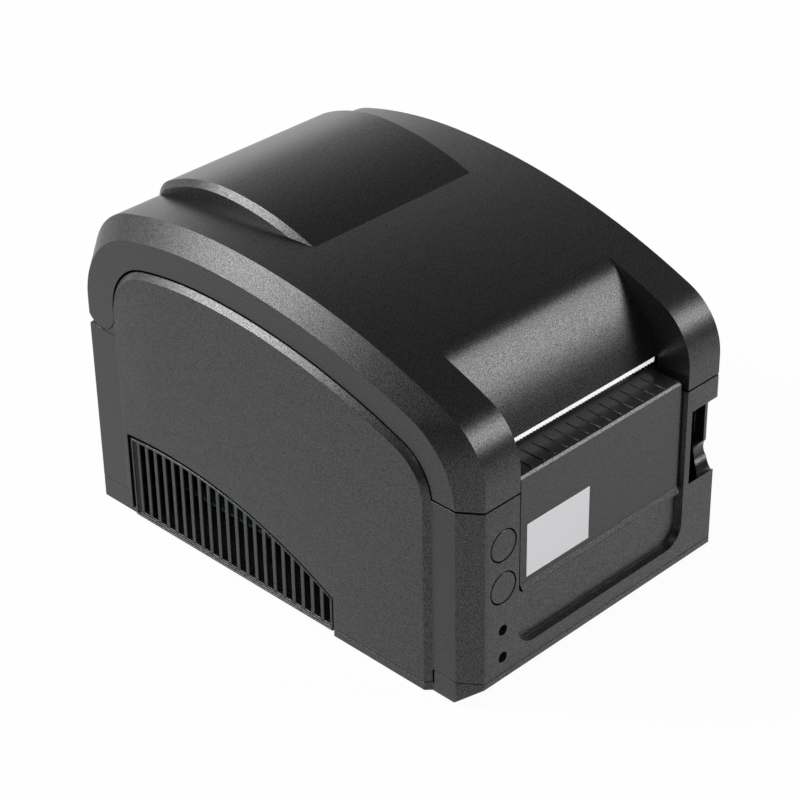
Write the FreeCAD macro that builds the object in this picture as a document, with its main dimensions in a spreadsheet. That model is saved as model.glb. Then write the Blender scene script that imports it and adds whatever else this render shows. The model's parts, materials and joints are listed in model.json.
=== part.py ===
import FreeCAD, Part
import math
import os
import Sketcher
from types import SimpleNamespace

# Desktop thermal label printer, in millimetres. The origin is on the desk under the middle of the
# machine, +Z is up, the label slot faces -Y and +X is to the right of someone facing the slot.

Vector = FreeCAD.Vector
doc = FreeCAD.newDocument("label_printer")

sizes = {
    # case
    "shell_width": 160.0, "shell_depth": 235.0, "wall": 2.5, "panel_proud": 2.5, "seam_gap": 1.0,
    "corner_chamfer_x": 7.1, "corner_chamfer_y": 9.5, "rear_chamfer_y": 1.5,
    "tray_underside": 1.5, "tray_floor": 2.5, "tray_bevel_height": 7.8, "tray_bevel_depth": 10.5,
    "panel_foot": 5.8, "pillar_foot": 12.4, "tray_gap": 0.4,
    "front_seam_height": 96.3, "rear_seam_height": 94.3, "front_depth": 7.0,
    # crown of the cover, seen from the side
    "crown_y": 36.0, "crown_top": 161.3, "crown_front_radius": 340.0, "crown_rear_radius": 215.0,
    "shoulder_front_radius": 29.5, "shoulder_rear_radius": 34.0,
    "skirt_front_radius": 38.0, "skirt_rear_radius": 40.0,
    "seam_inset": 22.7, "seam_setback": 22.0, "seam_front_radius": 25.0, "seam_rear_radius": 28.0,
    # bump over the label roll
    "bump_half_width": 47.0, "bump_chamfer_x": 2.3, "bump_chamfer_z": 2.9, "bump_y": 55.0, "bump_top": 168.9,
    "bump_front_radius": 150.0, "bump_rear_radius": 86.0, "bump_end_radius": 14.0, "bump_end_inset": 15.5,
    "bump_root": 21.0,
    # scoop above the label slot
    "scoop_half_width": 52.5, "scoop_setback": 48.5, "scoop_blend_radius": 24.0, "scoop_break_angle": 44.0,
    "lip_setback": 17.4, "lip_height": 107.4,
    # cover hinge
    "ear_radius": 9.6, "hinge_height": 104.0, "hinge_pin_radius": 2.5, "knuckle_radius": 6.5,
    "bracket_width": 7.4, "bracket_inset": 14.6, "side_play": 0.7, "running_clearance": 0.05,
    # front face
    "recess_half_width": 52.6, "recess_depth": 3.0, "recess_bevel": 0.8, "recess_foot": 19.4, "recess_round": 10.0,
    "flap_half_width": 50.0, "flap_thickness": 2.6, "flap_recess": 1.9, "flap_foot": 47.2, "flap_top": 101.3,
    "flap_shelf_depth": 18.0, "flap_shelf_thickness": 2.3, "flap_lip": 1.7, "flap_lip_height": 0.8,
    "flap_lip_slope": 2.0, "flap_play": 0.25,
    "rib_count": 13, "rib_pitch": 6.83, "rib_width": 0.7, "rib_height": 0.4, "rib_length": 12.5, "rib_setback": 2.2,
    "label_width": 38.2, "label_height": 25.8, "label_left": 46.2, "label_foot": 51.6, "label_thickness": 0.2,
    "label_round": 1.6,
    # controls on the left pillar
    "button_edge": 2.65, "button_gap": 1.9, "upper_button_height": 76.0, "lower_button_height": 55.3,
    "button_play": 0.2, "button_travel": 1.0, "button_flange": 0.9, "button_flange_thickness": 1.0,
    "button_stem_radius": 2.0,
    "upper_light_height": 34.2, "lower_light_height": 20.4, "light_radius": 2.2, "light_play": 0.3, "light_sink": 2.0,
    "control_board_setback": 11.5, "control_board_side": 3.0, "control_board_reach": 12.5,
    "control_board_thickness": 1.6,
    "control_board_foot": 14.5, "control_board_top": 86.0, "switch_size": 6.0, "switch_height": 4.0,
    # finger notch and release lever on the right pillar
    "notch_rib": 3.4, "notch_foot": 48.2, "notch_top": 84.8, "notch_depth": 10.0, "notch_sag": 6.2,
    "notch_wall": 2.5, "window_foot": 55.6, "window_inset": 0.8, "window_edge": 1.8,
    "lever_pivot_setback": 17.0, "lever_pivot_height": 89.0, "lever_thickness": 2.4, "lever_margin": 9.0,
    "lever_play": 0.7, "lever_hub_radius": 3.0, "lever_pin_radius": 1.5, "lever_nose_foot": 102.6,
    "lever_nose_height": 3.2, "lever_nose_reach": 3.0,
    "catch_clearance": 0.35, "catch_height": 3.0, "catch_depth": 3.0, "catch_rib": 2.0,
    "spring_radius": 3.0, "spring_wire": 0.5, "spring_turns": 3.0, "lever_spring_length": 8.0,
    # side vents
    "vent_front_setback": 79.0, "vent_rear_inset": 25.0, "vent_foot": 2.9, "vent_apex_inset": 49.5, "vent_apex_height": 47.0,
    "vent_radius": 230.0, "vent_play": 0.5, "vent_border": 2.4, "vent_pitch": 6.0, "vent_rib": 2.2,
    "vent_depth": 2.4, "vent_sink": 0.5, "vent_flange": 2.5, "vent_flange_thickness": 1.5,
    # roll bay and roll guides
    "bay_radius": 58.0, "rack_clearance": 3.1, "rack_drop": 2.5, "bay_half_width": 45.5, "bay_wall": 2.0, "bay_setback": 2.3,
    "deck_rise": 4.0, "deck_thickness": 2.0, "deck_play": 0.3, "deck_front_setback": 23.0, "ledge_width": 2.5,
    "guide_gap": 84.0, "guide_thickness": 2.5, "guide_clearance": 1.0, "guide_rise": 14.0, "guide_travel": 29.0,
    "guide_window_radius": 11.0, "rack_module": 1.0, "guide_pinion_teeth": 20, "rack_thickness": 3.0,
    "rack_neck": 4.0, "slot_play": 0.6, "guide_stub_radius": 2.5,
    # print mechanism
    "platen_setback": 31.5, "platen_height": 110.0, "platen_radius": 6.0, "platen_half_length": 41.0,
    "platen_shaft_radius": 3.0, "bush_wall": 1.5, "bush_length": 4.0, "bracket_half_width": 47.0,
    "bracket_sheet": 1.5, "bracket_roof": 119.5, "bracket_post_x": 30.0, "bracket_post_radius": 3.5,
    "bracket_post_setback": 40.5,
    "tear_bar_half_length": 50.5, "tear_bar_height": 1.8, "tear_bar_depth": 5.0, "tear_tooth_pitch": 2.0,
    "tear_tooth_depth": 0.6,
    "gear_module": 0.8, "platen_teeth": 18, "idler_teeth": 36, "pinion_teeth": 12, "gear_width": 5.0,
    "gear_backlash": 0.18, "gear_gap": 1.5, "pinion_angle": 75.0,
    "chassis_half_width": 49.0, "chassis_sheet": 1.5, "chassis_foot": 49.0, "chassis_depth": 37.0,
    "chassis_setback": 20.5, "chassis_top": 100.0, "chassis_shelf": 89.0, "chassis_shelf_depth": 16.0,
    "motor_radius": 17.5, "motor_length": 20.0, "motor_boss_radius": 5.0, "motor_boss_height": 1.2,
    "motor_shaft_radius": 1.5, "idler_stub_radius": 2.0,
    "head_half_length": 44.0, "head_gap": 0.3, "head_line_height": 0.3, "head_line_width": 1.4,
    "head_thickness": 1.0, "head_front_reach": 9.0, "head_rear_reach": 10.0, "heatsink_thickness": 4.0,
    "head_pivot_reach": 18.0, "head_pivot_drop": 12.5, "head_pivot_radius": 2.0, "head_hub": 4.0, "head_spring_x": 20.0,
    "guide_drop": 0.1, "guide_sheet": 2.2, "guide_mouth_setback": 55.5,
    "guide_tail_gap": 2.0, "guide_half_width": 44.0,
    "sensor_half_width": 6.0, "sensor_height": 5.0, "sensor_flange": 2.0,
    # boards and rear sockets
    "board_height": 12.0, "board_thickness": 1.6, "board_side_gap": 18.0, "board_right": 35.0, "board_front_y": 5.0,
    "board_rear_inset": 7.0, "standoff_radius": 3.0, "standoff_inset": 5.0,
    "chip_size": 14.0, "chip_height": 1.8,
    "port_recess": 4.0, "port_recess_right": 27.0, "port_recess_top": 34.0, "port_play": 0.2,
    "usb_x": 15.0, "usb_width": 12.0, "usb_height": 11.0, "usb_depth": 16.0, "usb_wall": 1.4, "usb_tongue": 5.6,
    "usb_tongue_height": 3.2, "usb_hollow": 10.0,
    "jack_x": -14.0, "jack_width": 9.0, "jack_height": 11.0, "jack_depth": 13.0, "jack_hole_radius": 3.15,
    "jack_pin_radius": 1.0, "jack_hollow": 9.0,
    "power_inset": 34.0, "power_height": 23.0, "power_width": 20.0, "power_rise": 13.0, "power_depth": 12.0,
    "power_bezel": 1.0, "power_wall": 1.6, "rocker_play": 0.6, "rocker_reach": 4.2, "rocker_back": 3.0,
    "rocker_dish": 1.6, "rocker_tilt": 8.0, "rocker_pin_radius": 1.2, "rocker_drop": 1.0,
    # feet and case screws
    "foot_radius": 8.0, "foot_bevel": 0.6, "foot_sink": 0.8, "foot_play": 0.2, "foot_side": 22.0, "foot_inset": 28.0,
    "screw_side": 10.0, "screw_front_setback": 23.5, "screw_rear_inset": 13.5, "screw_radius": 1.6,
    "screw_head_radius": 3.4, "screw_head_height": 2.0, "screw_length": 24.0, "screw_clearance": 0.3,
    "post_radius": 6.0, "post_top": 20.0, "boss_radius": 4.5, "boss_top": 50.0, "screw_sink": 5.0,
}


class Size:
    # A length that keeps its spreadsheet formula beside its value.
    def __init__(self, number, formula):
        self.number = number
        self.formula = formula

    def __float__(self):
        return self.number

    def __neg__(self):
        return Size(-self.number, "-(" + self.formula + ")")

    def __add__(self, other):
        return Size(self.number + float(other), "(" + self.formula + " + " + formula_of(other) + ")")

    def __sub__(self, other):
        return Size(self.number - float(other), "(" + self.formula + " - " + formula_of(other) + ")")

    def __mul__(self, other):
        return Size(self.number * float(other), self.formula + " * " + formula_of(other))

    def __truediv__(self, other):
        return Size(self.number / float(other), self.formula + " / " + formula_of(other))


def formula_of(value):
    return value.formula if isinstance(value, Size) else repr(float(value))


sheet = doc.addObject("Spreadsheet::Sheet", "dims")
for row, (name, number) in enumerate(sizes.items(), 1):
    sheet.set("A" + str(row), name)
    sheet.set("B" + str(row), str(number))
    sheet.setAlias("B" + str(row), name)
doc.recompute()
d = SimpleNamespace(**{name: Size(float(sheet.get(name)), "dims." + name) for name in sizes})

subparts = []


def bind(item, property_name, value):
    item.setExpression(property_name, formula_of(value))


def block(name, x, y, z):
    # a box between two corners, given as a low and a high value on each axis
    box = doc.addObject("Part::Box", name)
    for side, letter, span in (("Length", "x", x), ("Width", "y", y), ("Height", "z", z)):
        bind(box, side, span[1] - span[0])
        bind(box, "Placement.Base." + letter, span[0])
    return box


along = {
    "x": FreeCAD.Rotation(Vector(0, 1, 0), 90),
    "y": FreeCAD.Rotation(Vector(1, 0, 0), -90),
    "z": FreeCAD.Rotation(),
}


def place_on_axis(item, axis, at, start):
    # at gives the two coordinates across the axis, in x, y, z order
    base = {"x": (start, *at), "y": (at[0], start, at[1]), "z": (*at, start)}[axis]
    item.Placement = FreeCAD.Placement(Vector(), along[axis])
    for letter, value in zip("xyz", base):
        bind(item, "Placement.Base." + letter, value)


def rod(name, axis, at, span, radius):
    cylinder = doc.addObject("Part::Cylinder", name)
    place_on_axis(cylinder, axis, at, span[0])
    bind(cylinder, "Radius", radius)
    bind(cylinder, "Height", span[1] - span[0])
    return cylinder


def join(name, *items):
    fusion = doc.addObject("Part::MultiFuse", name)
    fusion.Shapes = list(items)
    return fusion


def carve(name, base, *tools):
    cut = doc.addObject("Part::Cut", name)
    cut.Base = base
    cut.Tool = tools[0] if len(tools) == 1 else join(name + "_tools", *tools)
    return cut


def group(name, items):
    compound = doc.addObject("Part::Compound", name)
    compound.Links = list(items)
    return compound


def node(item):
    subparts.append(item)
    return item


def moulded(name, shape):
    # a piece whose surfaces are drawn directly from the sheet's sizes
    item = doc.addObject("Part::Feature", name)
    item.Shape = shape
    return item


def outline_sketch(body, name, role, points):
    # a closed outline on one of the body's own planes, each corner tied to the sheet
    sketch = body.newObject("Sketcher::SketchObject", name)
    plane = [item for item in body.Origin.OriginFeatures if item.Role == role][0]
    sketch.AttachmentSupport = [(plane, "")]
    sketch.MapMode = "FlatFace"
    corners = [Vector(float(u), float(v), 0) for u, v in points]
    for index, corner in enumerate(corners):
        sketch.addGeometry(Part.LineSegment(corner, corners[(index + 1) % len(corners)]))
    for index, (u, v) in enumerate(points):
        sketch.addConstraint(Sketcher.Constraint("Coincident", index, 2, (index + 1) % len(points), 1))
        for kind, value in (("DistanceX", u), ("DistanceY", v)):
            place = sketch.addConstraint(Sketcher.Constraint(kind, -1, 1, index, 1, float(value)))
            sketch.setExpression("Constraints[" + str(place) + "]", formula_of(value))
    return sketch


def extruded(name, role, points, span):
    # a body padded from an outline in the side (YZ), front (XZ) or plan (XY) view
    body = doc.addObject("PartDesign::Body", name)
    pad = body.newObject("PartDesign::Pad", name + "_pad")
    pad.Profile = outline_sketch(body, name + "_outline", role, points)
    bind(pad, "Length", span[1] - span[0])
    letter, start = {"YZ_Plane": ("x", span[0]), "XZ_Plane": ("y", span[1]), "XY_Plane": ("z", span[0])}[role]
    bind(body, "Placement.Base." + letter, start)
    return body


def vec(x, y, z):
    return Vector(float(x), float(y), float(z))


def solid_box(x, y, z):
    low = vec(x[0], y[0], z[0])
    high = vec(x[1], y[1], z[1])
    return Part.makeBox(high.x - low.x, high.y - low.y, high.z - low.z, low)


def solid_rod(axis, at, span, radius):
    start, end = float(span[0]), float(span[1])
    base = {"x": (start, *at), "y": (at[0], start, at[1]), "z": (*at, start)}[axis]
    heading = {"x": Vector(1, 0, 0), "y": Vector(0, 1, 0), "z": Vector(0, 0, 1)}[axis]
    return Part.makeCylinder(float(radius), end - start, vec(*base), heading)


def prism(wire, span, heading=Vector(1, 0, 0)):
    # the wire lies across the heading, at zero along it
    low, high = float(span[0]), float(span[1])
    face = Part.Face(wire)
    face.translate(heading * low)
    return face.extrude(heading * (high - low))


def side_wire(points, x=0.0):
    corners = [vec(x, y, z) for y, z in points]
    return Part.makePolygon(corners + corners[:1])


def plan_wire(points, z=0.0):
    corners = [vec(x, y, z) for x, y in points]
    return Part.makePolygon(corners + corners[:1])


def line(start, end):
    return Part.LineSegment(start, end).toShape()


def arc(centre, start, end):
    radius = (start - centre).Length
    middle = (start - centre) + (end - centre)
    middle.normalize()
    return Part.Arc(start, centre + middle * radius, end).toShape()


def tangent_round(crown, crown_radius, side, radius):
    # centre of a round between a crown arc and an upright side, and where it leaves the arc
    y = side - radius if side > crown.y else side + radius
    reach = crown_radius - radius
    centre = Vector(crown.x, y, crown.z + math.sqrt(reach ** 2 - (y - crown.y) ** 2))
    return centre, crown + (centre - crown) * (crown_radius / reach)


def arch_wire(x, inset, front_y, front_round, rear_y, rear_round, base):
    # side view of the case: two crown arcs between rounded uprights, closed along the base
    top = float(d.crown_top)
    middle = float(d.crown_y)
    front_y, rear_y, base, inset = float(front_y), float(rear_y), float(base), float(inset)
    front_crown = vec(x, middle, top - float(d.crown_front_radius))
    rear_crown = vec(x, middle, top - float(d.crown_rear_radius))
    front_centre, front_touch = tangent_round(
        front_crown, float(d.crown_front_radius) - inset, front_y, float(front_round))
    rear_centre, rear_touch = tangent_round(
        rear_crown, float(d.crown_rear_radius) - inset, rear_y, float(rear_round))
    apex = vec(x, middle, top - inset)
    front_foot, front_shoulder = vec(x, front_y, base), vec(x, front_y, front_centre.z)
    rear_foot, rear_shoulder = vec(x, rear_y, base), vec(x, rear_y, rear_centre.z)
    return Part.Wire([
        line(front_foot, front_shoulder),
        arc(front_centre, front_shoulder, front_touch),
        arc(front_crown, front_touch, apex),
        arc(rear_crown, apex, rear_touch),
        arc(rear_centre, rear_touch, rear_shoulder),
        line(rear_shoulder, rear_foot),
        line(rear_foot, front_foot),
    ])


def chamfered_form(make_wire, flat, full):
    # a form of one section across its flat width, with ruled chamfers out to its full width
    flat, full = float(flat), float(full)
    core = Part.Face(make_wire(-flat, False)).extrude(Vector(2 * flat, 0, 0))
    sides = [Part.makeLoft([make_wire(sign * flat, False), make_wire(sign * full, True)], True, True)
             for sign in (-1, 1)]
    return core.fuse(sides).removeSplitter()


# Planes and axes that the pieces are placed from
half_width = d.shell_width / 2
inner_half = half_width - d.wall
front = -(d.shell_depth / 2)
rear = d.shell_depth / 2
flat_half = half_width - d.corner_chamfer_x
hinge_y = rear - d.ear_radius
hinge = (hinge_y, d.hinge_height)
bay_y = hinge_y - d.ear_radius - d.bay_setback - d.bay_radius - d.bay_wall
board_top = d.board_height + d.board_thickness
rack_top = board_top + d.chip_height + d.rack_clearance + d.rack_thickness
bay_height = rack_top + d.rack_drop + d.bay_wall + d.bay_radius
bay = (bay_y, bay_height)
deck_height = bay_height + d.deck_rise
platen_y = front + d.platen_setback
platen = (platen_y, d.platen_height)
idler_drop = d.gear_module * (d.platen_teeth + d.idler_teeth) / 2
idler = (platen_y, d.platen_height - idler_drop)
pinion_reach = d.gear_module * (d.idler_teeth + d.pinion_teeth) / 2
pinion = (platen_y + pinion_reach * math.cos(math.radians(float(d.pinion_angle))),
          idler[1] - pinion_reach * math.sin(math.radians(float(d.pinion_angle))))
chassis_left = -d.chassis_half_width
chassis_right = d.chassis_half_width
chassis_front = front + d.chassis_setback
chassis_rear = chassis_front + d.chassis_depth
gear_start = chassis_right + d.chassis_sheet + d.gear_gap
gear_end = gear_start + d.gear_width
head_top = d.platen_height - d.platen_radius - d.head_gap
lever_pivot = (front + d.lever_pivot_setback, d.lever_pivot_height)
button_radius = (flat_half - d.recess_half_width) / 2 - d.button_edge
button_x = d.recess_half_width + button_radius + d.button_gap
notch_left = d.recess_half_width + d.notch_rib
lever_width = half_width - notch_left - d.lever_margin
screw_x = half_width - d.screw_side
foot_x = half_width - d.foot_side
board_left = half_width - d.board_side_gap
switch_x = -(half_width - d.power_inset)
vent_span = (front + d.vent_front_setback, rear - d.vent_rear_inset)
sky = d.bump_top * 2


# Top cover: a thin shell with crown, chamfered skirts, roll bump, scoop and hinge barrel
def cover_form(inset):
    def wire(x, at_skirt):
        drop = float(d.corner_chamfer_y) if at_skirt else 0.0
        front_round = d.skirt_front_radius if at_skirt else d.shoulder_front_radius
        rear_round = d.skirt_rear_radius if at_skirt else d.shoulder_rear_radius
        rear_drop = d.rear_chamfer_y if at_skirt else 0.0
        return arch_wire(x, drop + inset, float(front) + drop + inset, float(front_round) - inset,
                         float(rear) - float(rear_drop) - inset, float(rear_round) - inset, d.pillar_foot)
    return chamfered_form(wire, float(flat_half) - inset / 2, float(half_width) - inset)


def bump_form(inset):
    def wire(x, at_edge):
        drop = inset + (float(d.bump_chamfer_z) if at_edge else 0.0)
        top = float(d.bump_top) - drop
        middle = float(d.bump_y)
        front_radius = float(d.bump_front_radius) - drop
        rear_radius = float(d.bump_rear_radius) - drop
        base = float(d.crown_top) - float(d.bump_root)
        front_crown = vec(x, middle, top - front_radius)
        rear_crown = vec(x, middle, top - rear_radius)
        end = float(rear) - float(d.bump_end_inset) - drop
        end_centre, end_touch = tangent_round(rear_crown, rear_radius, end, float(d.bump_end_radius) - drop)
        apex = vec(x, middle, top)
        reach = math.sqrt(front_radius ** 2 - (base - front_crown.z) ** 2)
        toe = vec(x, middle - reach, base)
        shoulder = vec(x, end, end_centre.z)
        heel = vec(x, end, base)
        return Part.Wire([arc(front_crown, toe, apex), arc(rear_crown, apex, end_touch),
                          arc(end_centre, end_touch, shoulder), line(shoulder, heel), line(heel, toe)])
    return chamfered_form(wire, float(d.bump_half_width) - inset, float(d.bump_half_width + d.bump_chamfer_x) - inset)


def scoop_form(inset, half, foot):
    # everything in front of the scooped face: a blend out of the crown, then a longer arc down to the lip
    start_y = float(front + d.scoop_setback)
    radius = float(d.crown_front_radius)
    crown = Vector(0, float(d.crown_y), float(d.crown_top) - radius)
    slope = math.asin((crown.y - start_y) / radius)
    turn = math.radians(float(d.scoop_break_angle))

    def heading(angle):
        return Vector(0, -math.sin(angle), math.cos(angle))

    blend_centre = crown + heading(slope) * (radius - float(d.scoop_blend_radius))
    break_point = blend_centre + heading(turn) * float(d.scoop_blend_radius)
    chord = Vector(0, float(front + d.lip_setback), float(d.lip_height)) - break_point
    outer_radius = -chord.dot(chord) / (2 * chord.dot(heading(turn)))
    face_centre = break_point - heading(turn) * outer_radius
    blend_radius = float(d.scoop_blend_radius) - inset
    face_radius = outer_radius - inset
    end_turn = math.acos((float(d.lip_height) - face_centre.z) / face_radius)
    start = blend_centre + heading(slope) * blend_radius
    middle = blend_centre + heading(turn) * blend_radius
    end = face_centre + heading(end_turn) * face_radius
    ahead = float(front - d.wall)
    above = float(sky)
    wire = Part.Wire([
        arc(blend_centre, start, middle), arc(face_centre, middle, end),
        line(end, Vector(0, end.y, float(foot))), line(Vector(0, end.y, float(foot)), Vector(0, ahead, float(foot))),
        line(Vector(0, ahead, float(foot)), Vector(0, ahead, above)),
        line(Vector(0, ahead, above), Vector(0, start.y, above)), line(Vector(0, start.y, above), start),
    ]) if float(foot) < end.z - 1e-6 else Part.Wire([
        arc(blend_centre, start, middle), arc(face_centre, middle, end), line(end, Vector(0, ahead, end.z)),
        line(Vector(0, ahead, end.z), Vector(0, ahead, above)),
        line(Vector(0, ahead, above), Vector(0, start.y, above)), line(Vector(0, start.y, above), start),
    ])
    return prism(wire, (-float(half), float(half))), end


def seam_wire(offset, base):
    return arch_wire(0.0, d.seam_inset + offset, front + d.seam_setback + offset, d.seam_front_radius - offset,
                     hinge_y - d.ear_radius - offset, d.seam_rear_radius - offset, base)


def pillar_plan(at_front, lap):
    edge = front if at_front else rear
    chamfer = d.corner_chamfer_y if at_front else -d.rear_chamfer_y
    back = front + d.seam_setback + lap if at_front else hinge_y - d.ear_radius - lap
    right = [(half_width, back), (half_width, edge + chamfer), (flat_half, edge)]
    return plan_wire(right + [(-x, y) for x, y in reversed(right)])


def make_cover():
    wall = float(d.wall)
    outer = cover_form(0.0).fuse(bump_form(0.0))
    scoop, lip = scoop_form(0.0, d.scoop_half_width, d.pillar_foot)
    backing, inner_lip = scoop_form(wall, d.scoop_half_width + d.wall, d.lip_height)
    hollow = cover_form(wall).fuse(bump_form(wall)).cut(backing)
    for sign in (-1, 1):
        near = sign * float(d.scoop_half_width)
        far = sign * float(d.scoop_half_width + d.wall)
        cheek = solid_box((min(near, far), max(near, far)), (front - d.wall, lip.y), (0, d.lip_height))
        hollow = hollow.cut(cheek)
    rim = d.front_seam_height + d.seam_gap / 2
    below_seam = prism(seam_wire(-(d.seam_gap / 2), d.pillar_foot), (-half_width - d.wall, half_width + d.wall))
    below_front = solid_box((-half_width - d.wall, half_width + d.wall), (front - d.wall, bay_y), (0, rim))
    wide = (-inner_half, inner_half)
    full = (-half_width - d.wall, half_width + d.wall)
    under_hinge = solid_box(full, (hinge_y - d.ear_radius - d.wall, rear + d.wall), (0, d.hinge_height))
    under_hinge = under_hinge.cut(solid_rod("x", hinge, full, d.ear_radius))
    shell = outer.cut([scoop, hollow, below_seam, below_front, under_hinge])
    barrel = solid_rod("x", hinge, wide, d.ear_radius)
    barrel = barrel.cut(solid_rod("x", hinge, full, d.ear_radius - d.wall))
    barrel = barrel.common(solid_box(full, (hinge_y, rear + d.wall), (0, d.hinge_height)))
    rear_plan = prism(pillar_plan(False, d.ear_radius), (0, sky), Vector(0, 0, 1))
    ears = []
    posts = []
    for sign in (-1, 1):
        outside = sign * float(half_width - d.rear_chamfer_y)
        inside = sign * float(inner_half)
        ears.append(solid_rod("x", hinge, sorted((outside, inside)), d.ear_radius).common(rear_plan))
        knuckle_end = sign * float(bracket_outer + d.side_play)
        ears.append(solid_rod("x", hinge, sorted((knuckle_end, inside)), d.knuckle_radius))
        post = solid_rod("z", (sign * float(d.bracket_post_x), front + d.bracket_post_setback),
                         (d.bracket_roof, d.bump_top), d.bracket_post_radius)
        posts.append(post.common(outer).cut(scoop))
    catch_x = (lever_x[0], lever_x[1])
    rib = solid_box(catch_x, (catch_y + d.catch_depth, catch_y + d.catch_depth + d.catch_rib),
                    (catch_z - d.catch_height, d.crown_top)).common(outer)
    ledge = solid_box(catch_x, (catch_y, catch_y + d.catch_depth), (catch_z - d.catch_height, catch_z))
    shell = shell.fuse([barrel, rib, ledge] + ears + posts)
    for sign in (-1, 1):
        low = sign * float(bracket_inner - d.side_play)
        high = sign * float(bracket_outer + d.side_play)
        slot = solid_box(sorted((low, high)), (hinge_y - d.ear_radius - d.wall, rear + d.wall), (0, d.hinge_height))
        shell = shell.cut(slot)
        post_x = sign * float(d.bracket_post_x)
        pilot = solid_rod("z", (post_x, front + d.bracket_post_setback),
                          (d.bracket_roof, d.bracket_roof + d.screw_length / 3), d.screw_radius)
        shell = shell.cut(pilot)
    shell = shell.cut(solid_rod("x", hinge, (-pin_end, pin_end), d.hinge_pin_radius + d.running_clearance))
    return shell.removeSplitter()


bracket_inner = half_width - d.bracket_inset - d.bracket_width
bracket_outer = half_width - d.bracket_inset
pin_end = inner_half - d.side_play
lever_centre = (notch_left + half_width) / 2
lever_x = (lever_centre - lever_width / 4, lever_centre + lever_width / 4)
lever_back = lever_pivot[0] - d.lever_thickness / 2
catch_y = lever_pivot[0] + d.lever_thickness / 2 + d.catch_clearance
catch_z = d.lever_nose_foot - d.catch_clearance
top_cover = node(moulded("top_cover", make_cover()))


# Main housing: side walls with proud bevelled panels, front pillars, hinge brackets and rear socket recess
def side_panel(sign):
    def wire(offset, x):
        edge = seam_wire(d.seam_gap / 2 + offset, d.panel_foot)
        edge.translate(vec(x, 0, 0))
        return edge
    root = wire(0.0, sign * float(inner_half))
    low = wire(0.0, sign * float(half_width))
    high = wire(float(d.panel_proud), sign * float(half_width + d.panel_proud))
    plate = Part.makeLoft([root, low], True, True)
    return plate.fuse(Part.makeLoft([low, high], True, True))


def vent_wire(grow):
    # arched outline of a side vent, grown evenly by a margin
    grow = float(grow)
    centre = Vector(0, float(rear - d.vent_apex_inset), float(d.vent_apex_height - d.vent_radius))
    radius = float(d.vent_radius) + grow
    low_y, high_y = float(vent_span[0]) - grow, float(vent_span[1]) + grow

    def on_arc(y):
        return Vector(0, y, centre.z + math.sqrt(radius ** 2 - (y - centre.y) ** 2))

    foot = float(d.vent_foot) - grow
    corners = [Vector(0, low_y, foot), on_arc(low_y), on_arc(high_y), Vector(0, high_y, foot)]
    return Part.Wire([line(corners[0], corners[1]), arc(centre, corners[1], corners[2]),
                      line(corners[2], corners[3]), line(corners[3], corners[0])])


def recess_wire(inset, y):
    # U-shaped outline of the front recess with rounded lower corners, open at the top
    half = float(d.recess_half_width) - inset
    foot = float(d.recess_foot) + inset
    radius = float(d.recess_round) - inset
    top = float(d.front_seam_height) + float(d.wall)
    left, right = Vector(-half, y, top), Vector(half, y, top)
    left_low, right_low = Vector(-half, y, foot + radius), Vector(half, y, foot + radius)
    low_left, low_right = Vector(radius - half, y, foot), Vector(half - radius, y, foot)
    left_centre, right_centre = Vector(radius - half, y, foot + radius), Vector(half - radius, y, foot + radius)
    return Part.Wire([line(left, left_low), arc(left_centre, left_low, low_left), line(low_left, low_right),
                      arc(right_centre, low_right, right_low), line(right_low, right), line(right, left)])


def notch_tool():
    # finger notch: an upright back wall over a hollow ramp that runs out at the lower lip
    back = float(front + d.notch_depth)
    ahead = float(front - d.wall)
    top, ramp, foot = float(d.notch_top), float(d.window_foot), float(d.notch_foot)
    lip = Vector(0, float(front), foot)
    ramp_top = Vector(0, back, ramp)
    chord = ramp_top - lip
    across = Vector(0, chord.z, -chord.y)
    across.normalize()
    middle = (lip + ramp_top) * 0.5 + across * float(d.notch_sag)
    ramp_arc = Part.Arc(lip, middle, ramp_top).toShape()
    low_ahead, high_ahead, high_back = Vector(0, ahead, foot), Vector(0, ahead, top), Vector(0, back, top)
    wire = Part.Wire([ramp_arc, line(ramp_top, high_back), line(high_back, high_ahead),
                      line(high_ahead, low_ahead), line(low_ahead, lip)])
    return prism(wire, (notch_left, half_width + d.panel_proud + d.wall))


def cavity_plan(front_y):
    # plan of the inside, its front corners one wall behind the outside chamfer
    slope = d.corner_chamfer_y / d.corner_chamfer_x
    length = math.hypot(float(d.corner_chamfer_x), float(d.corner_chamfer_y))
    shift = d.wall / d.corner_chamfer_x * length
    right = [(inner_half, rear), (inner_half, front + (inner_half - flat_half) * slope + shift),
             (flat_half + (front_y - front - shift) / slope, front_y)]
    return plan_wire(right + [(-x, y) for x, y in reversed(right)])


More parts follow.
